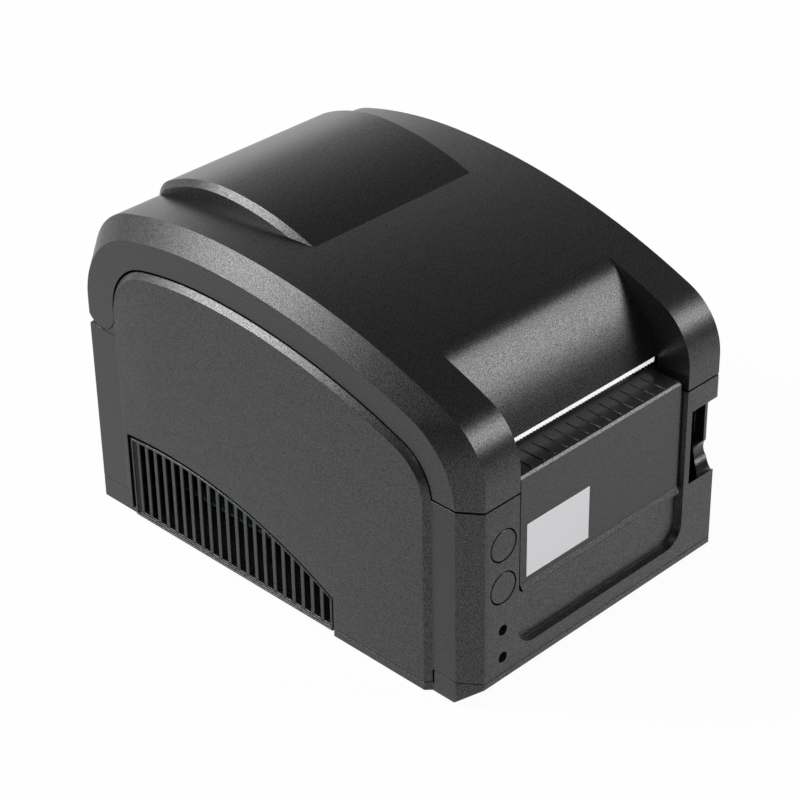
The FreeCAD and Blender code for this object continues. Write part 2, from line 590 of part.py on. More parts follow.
def make_housing():
    full = (-half_width - d.panel_proud - d.wall, half_width + d.panel_proud + d.wall)
    inside = (-inner_half, inner_half)
    front_top = d.front_seam_height - d.seam_gap / 2
    rear_top = d.rear_seam_height - d.seam_gap / 2
    front_inner = front + d.front_depth
    rear_inner = rear - d.wall
    pillars = prism(pillar_plan(True, d.wall), (d.pillar_foot, front_top), Vector(0, 0, 1))
    rear_block = prism(pillar_plan(False, d.wall), (d.pillar_foot, rear_top), Vector(0, 0, 1))
    shell = pillars.fuse([rear_block, side_panel(-1), side_panel(1)])
    cavity = prism(cavity_plan(front_inner), (0, d.crown_top), Vector(0, 0, 1))
    shell = shell.cut(cavity.common(solid_box(inside, (front_inner, rear_inner), (0, d.crown_top))))
    pocket_y = (front + d.wall, front_inner + d.wall)
    pocket_z = (d.pillar_foot + d.wall, front_top - d.wall)
    for sign in (-1, 1):
        ends = sorted((sign * float(button_x - button_radius - d.button_flange - d.button_play), sign * float(flat_half)))
        shell = shell.cut(solid_box(ends, pocket_y, pocket_z))
    added = []
    added.append(solid_box((notch_left - d.wall, half_width), (front, front + d.notch_depth + d.notch_wall),
                           (d.notch_foot - d.notch_sag, d.notch_top + d.wall)).common(pillars))
    added.append(solid_box((-board_left - d.wall, d.port_recess_right + d.wall),
                           (rear_inner - d.port_recess, rear_inner), (d.pillar_foot, d.port_recess_top + d.wall)))
    shelf_top = d.hinge_height - d.ear_radius - d.seam_gap
    added.append(solid_box(inside, (hinge_y - d.ear_radius - d.seam_gap, rear_inner), (shelf_top - d.wall, shelf_top)))
    for sign in (-1, 1):
        ends = sorted((sign * float(bracket_inner), sign * float(bracket_outer)))
        stem = (hinge_y - d.knuckle_radius, hinge_y - d.side_play)
        added.append(solid_box(ends, stem, (shelf_top - d.wall, d.hinge_height)))
        added.append(solid_rod("x", hinge, ends, d.knuckle_radius))
        ledge = sorted((sign * float(inner_half - d.ledge_width), sign * float(inner_half)))
        ledge_y = (front + d.deck_front_setback, hinge_y - d.ear_radius - d.seam_gap)
        added.append(solid_box(ledge, ledge_y, (deck_height - d.wall, deck_height)))
        for boss_y in (front + d.screw_front_setback, rear - d.screw_rear_inset):
            boss_x = sign * float(screw_x)
            boss = solid_rod("z", (boss_x, boss_y), (d.post_top, d.boss_top), d.boss_radius)
            web = solid_box(sorted((boss_x, sign * float(inner_half))),
                            (boss_y - d.wall / 2, boss_y + d.wall / 2), (d.post_top, d.boss_top))
            added += [boss, web]
    board_y = front + d.control_board_setback
    peg_gap = d.light_radius + d.standoff_radius + d.wall
    for peg_z in (d.upper_light_height + peg_gap, (d.upper_light_height + d.lower_light_height) / 2):
        added.append(solid_rod("y", (-button_x, peg_z), (front + d.wall, board_y), d.standoff_radius))
    pin_rib = (lever_centre - lever_width / 2 - d.lever_play - d.wall, lever_centre - lever_width / 2 - d.lever_play)
    added.append(solid_box(pin_rib, (front + d.wall, lever_pivot[0] + d.lever_hub_radius),
                           (d.notch_top, front_top - d.wall / 2)))
    pin_boss = (lever_centre + lever_width / 2 + d.lever_play, inner_half)
    added.append(solid_rod("x", lever_pivot, pin_boss, d.lever_hub_radius))
    spring_seat = lever_back + d.lever_thickness + d.lever_spring_length
    added.append(solid_box((pin_rib[0], inner_half), (spring_seat, spring_seat + d.wall),
                           (spring_z - d.spring_radius - d.wall, spring_z + d.spring_radius + d.wall)))
    shell = shell.fuse(added)
    recess = Part.makeLoft([recess_wire(0.0, float(front)),
                            recess_wire(float(d.recess_bevel), float(front + d.recess_depth))], True, True)
    flap_space = d.flap_half_width + d.flap_play
    flap_pocket = solid_box((-flap_space, flap_space), (front - d.wall, front + d.flap_recess + d.flap_thickness),
                            (d.flap_foot - d.flap_lip_height - d.flap_play, d.crown_top))
    window = solid_box((notch_left + d.window_inset, half_width - d.window_edge),
                       (front + d.notch_depth - d.wall, front + d.notch_depth + d.notch_wall + d.wall),
                       (d.window_foot, d.notch_top))
    port_recess = solid_box((-board_left, d.port_recess_right), (rear - d.port_recess, rear + d.wall),
                            (d.pillar_foot + d.wall / 2, d.port_recess_top))
    hub_space = solid_rod("x", lever_pivot, (lever_centre - lever_width / 2 - d.lever_play,
                          lever_centre + lever_width / 2 + d.lever_play), d.lever_hub_radius + d.lever_play)
    shell = shell.cut([recess, flap_pocket, notch_tool(), window, hub_space, port_recess])
    vent_core = solid_box((-inner_half + d.vent_flange, inner_half - d.vent_flange), (front, rear), (0, d.crown_top))
    shell = shell.cut(prism(vent_wire(d.vent_play), full).cut(vent_core))
    port_y = (rear_inner - d.port_recess - d.wall, rear + d.wall)
    play = d.port_play
    holes = []
    for x, width, height in ((d.usb_x, d.usb_width, d.usb_height), (d.jack_x, d.jack_width, d.jack_height)):
        holes.append(solid_box((x - width / 2 - play, x + width / 2 + play), port_y,
                               (board_top - play, board_top + height + play)))
    holes.append(solid_box((switch_x - d.power_width / 2 - play, switch_x + d.power_width / 2 + play), port_y,
                           (d.power_height - d.power_rise / 2 - play, d.power_height + d.power_rise / 2 + play)))
    button_y = (front - d.wall, front + d.wall + d.wall)
    for height in (d.upper_button_height, d.lower_button_height):
        holes.append(solid_rod("y", (-button_x, height), button_y, button_radius + d.button_play))
    for height in (d.upper_light_height, d.lower_light_height):
        holes.append(solid_rod("y", (-button_x, height), button_y, d.light_radius + d.light_play))
    for sign in (-1, 1):
        for boss_y in (front + d.screw_front_setback, rear - d.screw_rear_inset):
            holes.append(solid_rod("z", (sign * float(screw_x), boss_y),
                                   (d.post_top, d.post_top + d.screw_length), d.screw_radius))
    holes.append(solid_rod("x", hinge, (-pin_end, pin_end), d.hinge_pin_radius))
    holes.append(solid_rod("x", lever_pivot, (pin_rib[0], inner_half), d.lever_pin_radius))
    return shell.cut(holes).removeSplitter()


spring_z = (d.window_foot + d.notch_top) / 2
main_housing = node(moulded("main_housing", make_housing()))


# Bottom tray: a shallow pan with a bevelled front, posts for the mechanism, board and case screws
def tray_plan():
    side = half_width + d.panel_proud
    vent = half_width + d.panel_proud - d.vent_sink - d.vent_depth - d.vent_play
    front_y = front + d.seam_setback + d.seam_gap / 2
    rear_y = hinge_y - d.ear_radius - d.seam_gap / 2
    bevel = d.panel_proud
    low_y, high_y = vent_span[0] - d.vent_play, vent_span[1] + d.vent_play
    right = [(flat_half, front), (half_width, front + d.corner_chamfer_y), (half_width, front_y),
             (side, front_y + bevel), (side, low_y), (vent, low_y), (vent, high_y), (half_width, high_y),
             (half_width, rear - d.rear_chamfer_y), (flat_half, rear)]
    return plan_wire(right + [(-x, y) for x, y in reversed(right)])


def make_tray():
    full = (-half_width - d.panel_proud - d.wall, half_width + d.panel_proud + d.wall)
    rim = d.pillar_foot - d.tray_gap
    shell = prism(tray_plan(), (d.tray_underside, d.panel_foot - d.tray_gap), Vector(0, 0, 1))
    ends = [prism(pillar_plan(at_front, -d.tray_gap), (d.tray_underside, rim), Vector(0, 0, 1))
            for at_front in (True, False)]
    shell = shell.fuse(ends)
    floor = d.tray_underside + d.tray_floor
    bevel_top = d.tray_underside + d.tray_bevel_height
    bevel_back = front + d.tray_bevel_depth
    shell = shell.cut(prism(side_wire([(front - d.wall, bevel_top), (front, bevel_top), (bevel_back, d.tray_underside),
                                       (bevel_back, 0), (front - d.wall, 0)]), full))
    inner = side_wire([(front + d.wall, sky), (front + d.wall, rim), (bevel_back + d.wall, floor),
                       (rear - d.wall, floor), (rear - d.wall, sky)])
    cavity = prism(cavity_plan(front + d.wall), (0, sky), Vector(0, 0, 1))
    shell = shell.cut(prism(inner, (-inner_half, inner_half)).common(cavity))
    posts = []
    holes = []
    for sign in (-1, 1):
        for y in (front + d.screw_front_setback, rear - d.screw_rear_inset):
            at = (sign * float(screw_x), y)
            posts.append(solid_rod("z", at, (d.tray_underside, d.post_top), d.post_radius))
            holes.append(solid_rod("z", at, (0, d.tray_underside + d.screw_sink + d.screw_head_height),
                                   d.screw_head_radius + d.screw_clearance))
            holes.append(solid_rod("z", at, (0, d.post_top), d.screw_radius + d.screw_clearance))
        for y in (front + d.foot_inset, rear - d.foot_inset):
            holes.append(solid_rod("z", (sign * float(foot_x), y), (0, d.tray_underside + d.foot_sink),
                                   d.foot_radius + d.foot_play))
        for y in (chassis_front + d.standoff_inset, chassis_rear - d.standoff_inset):
            at = (sign * float(d.chassis_half_width - d.standoff_inset), y)
            posts.append(solid_rod("z", at, (floor, d.chassis_foot), d.standoff_radius))
    for x in (-board_left + d.standoff_inset, d.board_right - d.standoff_inset):
        for y in (d.board_front_y + d.standoff_inset, rear - d.board_rear_inset - d.standoff_inset):
            posts.append(solid_rod("z", (x, y), (floor, d.board_height), d.standoff_radius))
    return shell.fuse(posts).cut(holes).removeSplitter()


bottom_tray = node(moulded("bottom_tray", make_tray()))


# Feet and case screws, one set of four each
foot_points = [(sign * float(foot_x), y) for sign in (-1, 1) for y in (front + d.foot_inset, rear - d.foot_inset)]
foot_height = d.tray_underside + d.foot_sink


def foot(index, at):
    pad = doc.addObject("Part::Cone", "foot_pad_" + str(index))
    place_on_axis(pad, "z", at, 0.0)
    bind(pad, "Radius1", d.foot_radius - d.foot_bevel)
    bind(pad, "Radius2", d.foot_radius)
    bind(pad, "Height", d.foot_bevel)
    stem = rod("foot_stem_" + str(index), "z", at, (d.foot_bevel, foot_height), d.foot_radius)
    return join("foot_" + str(index), pad, stem)


rubber_feet = node(group("rubber_feet", [foot(index, at) for index, at in enumerate(foot_points)]))


def screw(name, at, seat, length):
    # pan head below its seat and a plain shank above it
    head = rod(name + "_head", "z", at, (seat - d.screw_head_height, seat), d.screw_head_radius)
    shank = rod(name + "_shank", "z", at, (seat - d.screw_head_height / 2, seat + length), d.screw_radius)
    return join(name, head, shank)


screw_seat = d.tray_underside + d.screw_sink + d.screw_head_height
case_screw_points = [(sign * float(screw_x), y) for sign in (-1, 1)
                     for y in (front + d.screw_front_setback, rear - d.screw_rear_inset)]
case_screws = node(group("case_screws", [screw("case_screw_" + str(index), at, screw_seat, d.screw_length)
                                         for index, at in enumerate(case_screw_points)]))


# Side vent grilles: an arched frame with upright bars and a fixing flange inside the wall
def make_grille():
    outer_x = half_width + d.panel_proud - d.vent_sink
    plate = prism(vent_wire(0.0), (outer_x - d.vent_depth, outer_x))
    flange = prism(vent_wire(d.vent_flange), (inner_half - d.vent_flange_thickness, inner_half))
    neck = prism(vent_wire(0.0), (inner_half - d.vent_flange_thickness, outer_x - d.vent_depth + d.vent_sink))
    above_tray = solid_box((0, half_width * 2), (front, rear), (d.pillar_foot, d.crown_top))
    body = plate.fuse([flange.common(above_tray), neck.common(above_tray)])
    gaps = prism(vent_wire(-d.vent_border), (0, half_width * 2))
    bar_y = float(vent_span[0] + d.vent_border + d.vent_pitch - d.vent_rib)
    bars = []
    while bar_y < float(vent_span[1] - d.vent_border - d.vent_rib):
        bars.append(solid_box((outer_x - d.vent_depth, outer_x), (bar_y, bar_y + float(d.vent_rib)), (0, d.crown_top)))
        bar_y += float(d.vent_pitch)
    return body.cut(gaps.cut(bars)).removeSplitter()


right_grille_shape = make_grille()
right_vent_grille = node(moulded("right_vent_grille", right_grille_shape))
left_vent_grille = node(moulded("left_vent_grille", right_grille_shape.mirror(Vector(), Vector(1, 0, 0))))


# Front cover under the label slot: an upright face, a ribbed shelf and a flared lower lip
flap_face = front + d.flap_recess
flap_back = flap_face + d.flap_thickness
shelf_end = flap_face + d.flap_shelf_depth
flap_bend = d.rib_setback / 2
front_cover_body = extruded("front_cover", "YZ_Plane", [
    (flap_face, d.flap_foot + d.flap_lip_slope),
    (flap_face, d.flap_top - flap_bend),
    (flap_face + flap_bend, d.flap_top),
    (shelf_end, d.flap_top),
    (shelf_end, d.flap_top - d.flap_shelf_thickness),
    (flap_back, d.flap_top - d.flap_shelf_thickness),
    (flap_back, d.flap_foot - d.flap_lip_height),
    (flap_face - d.flap_lip, d.flap_foot - d.flap_lip_height),
    (flap_face - d.flap_lip, d.flap_foot),
], (-d.flap_half_width, d.flap_half_width))
rib_sketch = outline_sketch(front_cover_body, "front_cover_rib", "XY_Plane", [
    (d.flap_half_width - d.rib_pitch * (d.rib_count - 1) / 2 - d.rib_width / 2, flap_face + d.rib_setback),
    (d.flap_half_width - d.rib_pitch * (d.rib_count - 1) / 2 + d.rib_width / 2, flap_face + d.rib_setback),
    (d.flap_half_width - d.rib_pitch * (d.rib_count - 1) / 2 + d.rib_width / 2,
     flap_face + d.rib_setback + d.rib_length),
    (d.flap_half_width - d.rib_pitch * (d.rib_count - 1) / 2 - d.rib_width / 2,
     flap_face + d.rib_setback + d.rib_length),
])
bind(rib_sketch, "AttachmentOffset.Base.z", d.flap_top - d.rib_height)
rib_pad = front_cover_body.newObject("PartDesign::Pad", "front_cover_rib_pad")
rib_pad.Profile = rib_sketch
bind(rib_pad, "Length", d.rib_height * 2)
doc.recompute()
rib_row = front_cover_body.newObject("PartDesign::LinearPattern", "front_cover_rib_row")
rib_row.Originals = [rib_pad]
rib_row.Direction = (rib_sketch, ["H_Axis"])
bind(rib_row, "Length", d.rib_pitch * (d.rib_count - 1))
bind(rib_row, "Occurrences", d.rib_count)
front_cover_body.Tip = rib_row
front_cover = node(front_cover_body)


# Bare label on the front cover
def make_label():
    plate = solid_box((-d.label_left, d.label_width - d.label_left), (flap_face - d.label_thickness, flap_face),
                      (d.label_foot, d.label_foot + d.label_height))
    corners = [edge for edge in plate.Edges if abs(edge.tangentAt(edge.FirstParameter).y) > 0.9]
    return plate.makeFillet(float(d.label_round), corners)


front_label = node(moulded("front_label", make_label()))


# Buttons, light pipes and the small control board behind the left pillar
control_y = front + d.control_board_setback
stem_end = control_y - d.switch_height - d.button_travel - d.button_play


def button(name, height):
    at = (-button_x, height)
    cap = rod(name + "_cap", "y", at, (front, front + d.wall + d.button_play), button_radius)
    flange = rod(name + "_flange", "y", at, (front + d.wall + d.button_play,
                 front + d.wall + d.button_play + d.button_flange_thickness), button_radius + d.button_flange)
    stem = rod(name + "_stem", "y", at, (front + d.wall, stem_end), d.button_stem_radius)
    return join(name, cap, flange, stem)


upper_button = node(button("upper_button", d.upper_button_height))
lower_button = node(button("lower_button", d.lower_button_height))
control_x = (-inner_half + d.control_board_side, -button_x + d.control_board_reach)
control_board = node(block("control_board", control_x, (control_y, control_y + d.control_board_thickness),
                           (d.control_board_foot, d.control_board_top)))
tact_switches = node(group("tact_switches", [
    block("tact_switch_" + str(index), (-button_x - d.switch_size / 2, -button_x + d.switch_size / 2),
          (control_y - d.switch_height, control_y), (height - d.switch_size / 2, height + d.switch_size / 2))
    for index, height in enumerate((d.upper_button_height, d.lower_button_height))]))
light_pipes = node(group("light_pipes", [
    rod("light_pipe_" + str(index), "y", (-button_x, height), (front + d.light_sink, control_y), d.light_radius)
    for index, height in enumerate((d.upper_light_height, d.lower_light_height))]))


# Release lever: a finger pad in the notch window, a pivot hub and a hook that rises into the cover
pad_x = (lever_centre - lever_width / 2, lever_centre + lever_width / 2)
lever_front = lever_back + d.lever_thickness
pad_z = (d.window_foot + d.lever_play, lever_pivot[1])
lever_plate = block("lever_plate", pad_x, (lever_back, lever_front), pad_z)
lever_hub = rod("lever_hub", "x", lever_pivot, pad_x, d.lever_hub_radius)
lever_hook = extruded("lever_hook", "YZ_Plane", [
    (lever_back, lever_pivot[1]),
    (lever_back, d.lever_nose_foot + d.lever_nose_height),
    (lever_front, d.lever_nose_foot + d.lever_nose_height),
    (lever_front + d.lever_nose_reach, d.lever_nose_foot + d.lever_nose_height / 2),
    (lever_front + d.lever_nose_reach, d.lever_nose_foot),
    (lever_front, d.lever_nose_foot),
    (lever_front, lever_pivot[1]),
], lever_x)
lever_solid = join("lever_solid", lever_plate, lever_hub, lever_hook)
lever_bore = rod("lever_bore", "x", lever_pivot, (pad_x[0] - d.wall, pad_x[1] + d.wall),
                 d.lever_pin_radius + d.running_clearance)
release_lever = node(carve("release_lever", lever_solid, lever_bore))
lever_pin = node(rod("lever_pin", "x", lever_pivot, (pad_x[0] - d.lever_play - d.wall, inner_half),
                     d.lever_pin_radius))


def coil(base, heading, length, radius, wire):
    # helical compression spring with its ends on two seats
    body = float(length) - 2 * float(wire)
    helix = Part.makeHelix(body / float(d.spring_turns), body, float(radius) - float(wire))
    start = Vector(float(radius) - float(wire), 0, 0)
    section = Part.Wire(Part.makeCircle(float(wire), start, Vector(0, 1, 0)))
    spring = Part.Wire(helix).makePipeShell([section], True, True)
    spring.translate(Vector(0, 0, float(wire)))
    turn = FreeCAD.Rotation(Vector(0, 0, 1), heading)
    spring.Placement = FreeCAD.Placement(base, turn).multiply(spring.Placement)
    return spring


lever_spring = node(moulded("lever_spring", coil(vec(lever_centre, lever_front, spring_z), Vector(0, 1, 0),
                                                 d.lever_spring_length, d.spring_radius, d.spring_wire)))


# Hinge pins
hinge_pins = node(group("hinge_pins", [
    rod("left_hinge_pin", "x", hinge, (-pin_end, -bracket_inner), d.hinge_pin_radius),
    rod("right_hinge_pin", "x", hinge, (bracket_inner, pin_end), d.hinge_pin_radius)]))


# Paper bin: the curved roll bay, its end walls and the deck around it
def make_bin():
    outer_r = d.bay_radius + d.bay_wall
    deck_top = deck_height + d.deck_thickness
    outer_half = d.bay_half_width + d.bay_wall
    low = solid_box((-outer_half, outer_half), (bay_y - outer_r, bay_y + outer_r), (0, bay_height))
    trough = solid_rod("x", bay, (-outer_half, outer_half), outer_r).common(low)
    collar = solid_box((-outer_half, outer_half), (bay_y - outer_r, bay_y + outer_r), (bay_height, deck_top))
    reach = inner_half - d.deck_play
    notch = (chassis_left - d.chassis_sheet - d.side_play, gear_end + d.gear_gap)
    deck_rear = hinge_y - d.ear_radius - d.seam_gap - d.deck_play
    deck_z = (deck_height, deck_top)
    deck = solid_box((-reach, reach), (front + d.deck_front_setback, deck_rear), deck_z)
    deck = deck.cut(solid_box(notch, (front, chassis_rear + d.side_play), (0, sky)))
    body = trough.fuse([collar, deck])
    hollow = solid_rod("x", bay, (-d.bay_half_width, d.bay_half_width), d.bay_radius)
    mouth = solid_box((-d.bay_half_width, d.bay_half_width), (bay_y - d.bay_radius, bay_y + d.bay_radius),
                      (bay_height, sky))
    body = body.cut([hollow, mouth])
    floor = bay_height - outer_r + d.bay_wall / 2
    stub_foot = rack_top - d.rack_thickness - d.running_clearance
    stub = solid_rod("z", (0, bay_y), (stub_foot - d.bay_wall / 2, floor), d.guide_stub_radius)
    keeper = solid_rod("z", (0, bay_y), (stub_foot - d.bay_wall / 2, stub_foot),
                       d.guide_stub_radius + d.bay_wall / 2)
    body = body.fuse([stub, keeper])
    for sign in (-1, 1):
        x = sorted((sign * float(d.bay_half_width), sign * float(guide_stop - d.rack_neck - d.slot_play)))
        y = sorted(float(bay_y + (rack_line + side) * sign) for side in (neck_low - d.slot_play, neck_high + d.slot_play))
        body = body.cut(solid_box(x, y, (0, bay_height)))
    return body.removeSplitter()


rack_line = d.rack_module * d.guide_pinion_teeth / 2
neck_low = d.rack_module * 1.25
neck_high = neck_low + d.rack_neck
guide_face = d.guide_gap / 2
guide_stop = guide_face - d.guide_travel
paper_bin = node(moulded("paper_bin", make_bin()))


def gear_wire(teeth, module, backlash):
    # involute flanks, each from four points, with a little backlash
    teeth = int(round(float(teeth)))
    module = float(module)
    pitch = module * teeth / 2
    base = pitch * math.cos(math.radians(20))
    tip = pitch + 0.9 * module
    root = pitch - 1.2 * module
    half_tooth = (math.pi * module / 2 - float(backlash)) / 2 / pitch

    def involute(radius):
        return math.sqrt(max((radius / base) ** 2 - 1, 0)) - math.acos(min(base / radius, 1))

    low = max(base, root)
    radii = [low, (low + pitch) / 2, (pitch + tip) / 2, tip]
    flank = [(root, half_tooth + involute(pitch) - involute(low))] if root < low else []
    flank += [(radius, half_tooth + involute(pitch) - involute(radius)) for radius in radii]
    corners = []
    for tooth in range(teeth):
        centre = 2 * math.pi * tooth / teeth
        corners += [(radius, centre - angle) for radius, angle in flank]
        corners += [(radius, centre + angle) for radius, angle in reversed(flank)]
    points = [Vector(radius * math.cos(angle), radius * math.sin(angle), 0) for radius, angle in corners]
    return Part.makePolygon(points + points[:1])


def gear_solid(teeth, module, width, bore, backlash, turn=0.0):
    # gear about +Z from zero up, turned by a share of one tooth
    blank = prism(gear_wire(teeth, module, backlash), (0, width), Vector(0, 0, 1))
    blank = blank.cut(solid_rod("z", (0, 0), (0, width), bore))
    blank.rotate(Vector(), Vector(0, 0, 1), turn)
    return blank


# Roll guides on two racks that a pinion under the bay moves together
def make_guide(sign):
    radius = d.bay_radius - d.guide_clearance
    x = (-guide_face - d.guide_thickness, -guide_face)
    plate = solid_rod("x", bay, x, radius)
    crown = solid_box(x, (bay_y - radius, bay_y + radius), (bay_height + d.guide_rise, sky))
    window = solid_rod("x", (bay_y, bay_height + d.guide_rise), (x[0] - d.wall, x[1] + d.wall), d.guide_window_radius)
    plate = plate.cut([crown, window])
    rack_y = float(bay_y) - float(rack_line)
    module = float(d.rack_module)
    neck_y = (rack_y - float(neck_high), rack_y - float(neck_low))
    rack_z = (rack_top - d.rack_thickness, rack_top)
    neck = solid_box((-guide_face - d.guide_thickness, -guide_face + d.rack_neck), neck_y,
                     (rack_top - d.rack_thickness, bay_height - d.bay_radius + d.guide_rise / 2))
    rack_end = float(d.rack_module) * math.pi * 4
    rack = solid_box((-guide_face - d.guide_thickness, rack_end), (rack_y - float(neck_high), rack_y - 1.2 * module), rack_z)
    teeth = []
    pitch = math.pi * module
    half_top = pitch / 4 - 0.9 * module * math.tan(math.radians(20)) - float(d.gear_backlash) / 2
    half_root = pitch / 4 + 1.2 * module * math.tan(math.radians(20)) - float(d.gear_backlash) / 2
    centre = pitch / 2 - pitch * int((float(guide_face) - pitch) / pitch)
    while centre < rack_end - pitch / 2:
        points = [(centre - half_root, rack_y - 1.25 * module), (centre - half_top, rack_y + 0.9 * module),
                  (centre + half_top, rack_y + 0.9 * module), (centre + half_root, rack_y - 1.25 * module)]
        teeth.append(prism(plan_wire(points), rack_z, Vector(0, 0, 1)))
        centre += pitch
    guide = plate.fuse([neck, rack] + teeth).removeSplitter()
    if sign > 0:
        guide.rotate(vec(0, bay_y, 0), Vector(0, 0, 1), 180)
    return guide


left_roll_guide = node(moulded("left_roll_guide", make_guide(-1)))
right_roll_guide = node(moulded("right_roll_guide", make_guide(1)))
guide_pinion = node(moulded("guide_pinion", gear_solid(
    d.guide_pinion_teeth, d.rack_module, d.rack_thickness, d.guide_stub_radius + d.running_clearance,
    d.gear_backlash, 90.0)))
guide_pinion.Placement = FreeCAD.Placement(vec(0, bay_y, rack_top - d.rack_thickness), FreeCAD.Rotation())


# Mechanism chassis: folded steel with a base, two cheeks and a shelf under the print head
motor_at = pinion
head_pivot = (platen_y + d.head_pivot_reach, d.platen_height - d.head_pivot_drop)
sheet_z = (d.chassis_foot, d.chassis_foot + d.chassis_sheet)
chassis_y = (chassis_front, chassis_rear)
chassis_base = block("chassis_base", (chassis_left - d.chassis_sheet, chassis_right + d.chassis_sheet), chassis_y, sheet_z)
left_cheek = block("left_cheek", (chassis_left - d.chassis_sheet, chassis_left), chassis_y,
                   (d.chassis_foot, d.chassis_top))
right_cheek = block("right_cheek", (chassis_right, chassis_right + d.chassis_sheet), chassis_y,
                    (d.chassis_foot, d.chassis_top))
shelf_y = (platen_y - d.chassis_shelf_depth / 2, platen_y + d.chassis_shelf_depth / 2)
head_shelf = block("head_shelf", (chassis_left, chassis_right), shelf_y,
                   (d.chassis_shelf, d.chassis_shelf + d.chassis_sheet))
chassis_blank = join("chassis_blank", chassis_base, left_cheek, right_cheek, head_shelf)
across = (chassis_left - d.wall, chassis_right + d.wall)
motor_hole = rod("motor_hole", "x", motor_at, (chassis_right - d.wall, chassis_right + d.wall),
                 d.motor_boss_radius + d.side_play)
stub_hole = rod("stub_hole", "x", idler, (chassis_right - d.wall, chassis_right + d.wall), d.idler_stub_radius)
pivot_hole = rod("pivot_hole", "x", head_pivot, across, d.head_pivot_radius)
chassis = node(carve("chassis", chassis_blank, motor_hole, stub_hole, pivot_hole))

# Feed motor with its rotor, pinion and the idler that drives the platen
motor_can = rod("motor_can", "x", motor_at, (chassis_right - d.motor_length, chassis_right), d.motor_radius)
motor_boss = rod("motor_boss", "x", motor_at, (chassis_right, chassis_right + d.motor_boss_height), d.motor_boss_radius)
motor_solid = join("motor_solid", motor_can, motor_boss)
motor_bore = rod("motor_bore", "x", motor_at, (chassis_right - d.motor_length / 2, gear_end),
                 d.motor_shaft_radius + d.running_clearance)
feed_motor = node(carve("feed_motor", motor_solid, motor_bore))
motor_shaft = node(rod("motor_shaft", "x", motor_at, (chassis_right - d.motor_length / 2 + d.side_play, gear_end),
                       d.motor_shaft_radius))
idler_stub = node(rod("idler_stub", "x", idler, (chassis_right, gear_end + d.gear_gap / 2), d.idler_stub_radius))


def train_gear(name, teeth, at, bore, turn):
    # a gear of the feed train, its first tooth pointing up before it is turned
    gear = moulded(name, gear_solid(teeth, d.gear_module, d.gear_width, bore, d.gear_backlash))
    upright = FreeCAD.Rotation(Vector(0, 1, 0), 90).multiply(FreeCAD.Rotation(Vector(0, 0, 1), 180 + turn))
    gear.Placement = FreeCAD.Placement(vec(gear_start, *at), upright)
    return node(gear)


# A platen tooth points straight down into a space of the idler, and the idler turns a space to the pinion's tooth
idler_step = 360.0 / float(d.idler_teeth)
pinion_step = 360.0 / float(d.pinion_teeth)
pinion_heading = 90.0 - float(d.pinion_angle)
idler_turn = idler_step / 2
spaces_off = (180.0 - pinion_heading - idler_turn) / idler_step
pinion_turn = -pinion_heading + (spaces_off % 1.0 + 0.5) * pinion_step * 1.0
platen_gear = train_gear("platen_gear", d.platen_teeth, platen, d.platen_shaft_radius, 180.0)
idler_gear = train_gear("idler_gear", d.idler_teeth, idler, d.idler_stub_radius + d.running_clearance, idler_turn)
motor_pinion = train_gear("motor_pinion", d.pinion_teeth, pinion, d.motor_shaft_radius, pinion_turn)


# Platen roller in its bushes and bracket under the cover
bracket_arm = (d.bracket_half_width, d.bracket_half_width + d.bracket_sheet)
bush_start = d.bracket_half_width - d.bush_length / 2
platen_shaft = node(rod("platen_shaft", "x", platen, (-d.bracket_half_width - d.bush_length, gear_end),
                        d.platen_shaft_radius))
rubber_sleeve = rod("rubber_sleeve", "x", platen, (-d.platen_half_length, d.platen_half_length), d.platen_radius)
rubber_bore = rod("rubber_bore", "x", platen, (-d.bracket_half_width, d.bracket_half_width), d.platen_shaft_radius)
platen_rubber = node(carve("platen_rubber", rubber_sleeve, rubber_bore))
bush_radius = d.platen_shaft_radius + d.bush_wall


def bush(name, span):
    sleeve = rod(name + "_sleeve", "x", platen, span, bush_radius)
    bore = rod(name + "_bore", "x", platen, span, d.platen_shaft_radius + d.running_clearance)
    return carve(name, sleeve, bore)


platen_bushes = node(group("platen_bushes", [
    bush("left_bush", (-bush_start - d.bush_length, -bush_start)),
    bush("right_bush", (bush_start, bush_start + d.bush_length))]))
arm_front = platen_y - bush_radius - d.bush_wall
arm_rear = front + d.bracket_post_setback + d.bracket_post_radius + d.bush_wall
arm_foot = d.platen_height - bush_radius - d.side_play
arm_outline = [
    (arm_front, arm_foot),
    (arm_front, d.platen_height + bush_radius),
    (platen_y, d.bracket_roof),
    (arm_rear, d.bracket_roof),
    (arm_rear, d.platen_height),
    (platen_y + bush_radius, arm_foot),
]
left_arm = extruded("left_arm", "YZ_Plane", arm_outline, (-bracket_arm[1], -bracket_arm[0]))
right_arm = extruded("right_arm", "YZ_Plane", arm_outline, bracket_arm)
bracket_roof = block("bracket_roof", (-bracket_arm[1], bracket_arm[1]), (platen_y, arm_rear),
                     (d.bracket_roof - d.bracket_sheet, d.bracket_roof))
bracket_blank = join("bracket_blank", left_arm, right_arm, bracket_roof)
bush_hole = rod("bush_hole", "x", platen, (-bracket_arm[1] - d.wall, bracket_arm[1] + d.wall), bush_radius)
post_at = [(sign * float(d.bracket_post_x), front + d.bracket_post_setback) for sign in (-1, 1)]
bracket_holes = [rod("bracket_hole_" + str(index), "z", at, (d.bracket_roof - d.wall, d.bracket_roof), d.screw_radius)
                 for index, at in enumerate(post_at)]
platen_bracket = node(carve("platen_bracket", bracket_blank, bush_hole, *bracket_holes))
bracket_screws = node(group("bracket_screws", [
    screw("bracket_screw_" + str(index), at, d.bracket_roof - d.bracket_sheet, d.screw_length / 3)
    for index, at in enumerate(post_at)]))


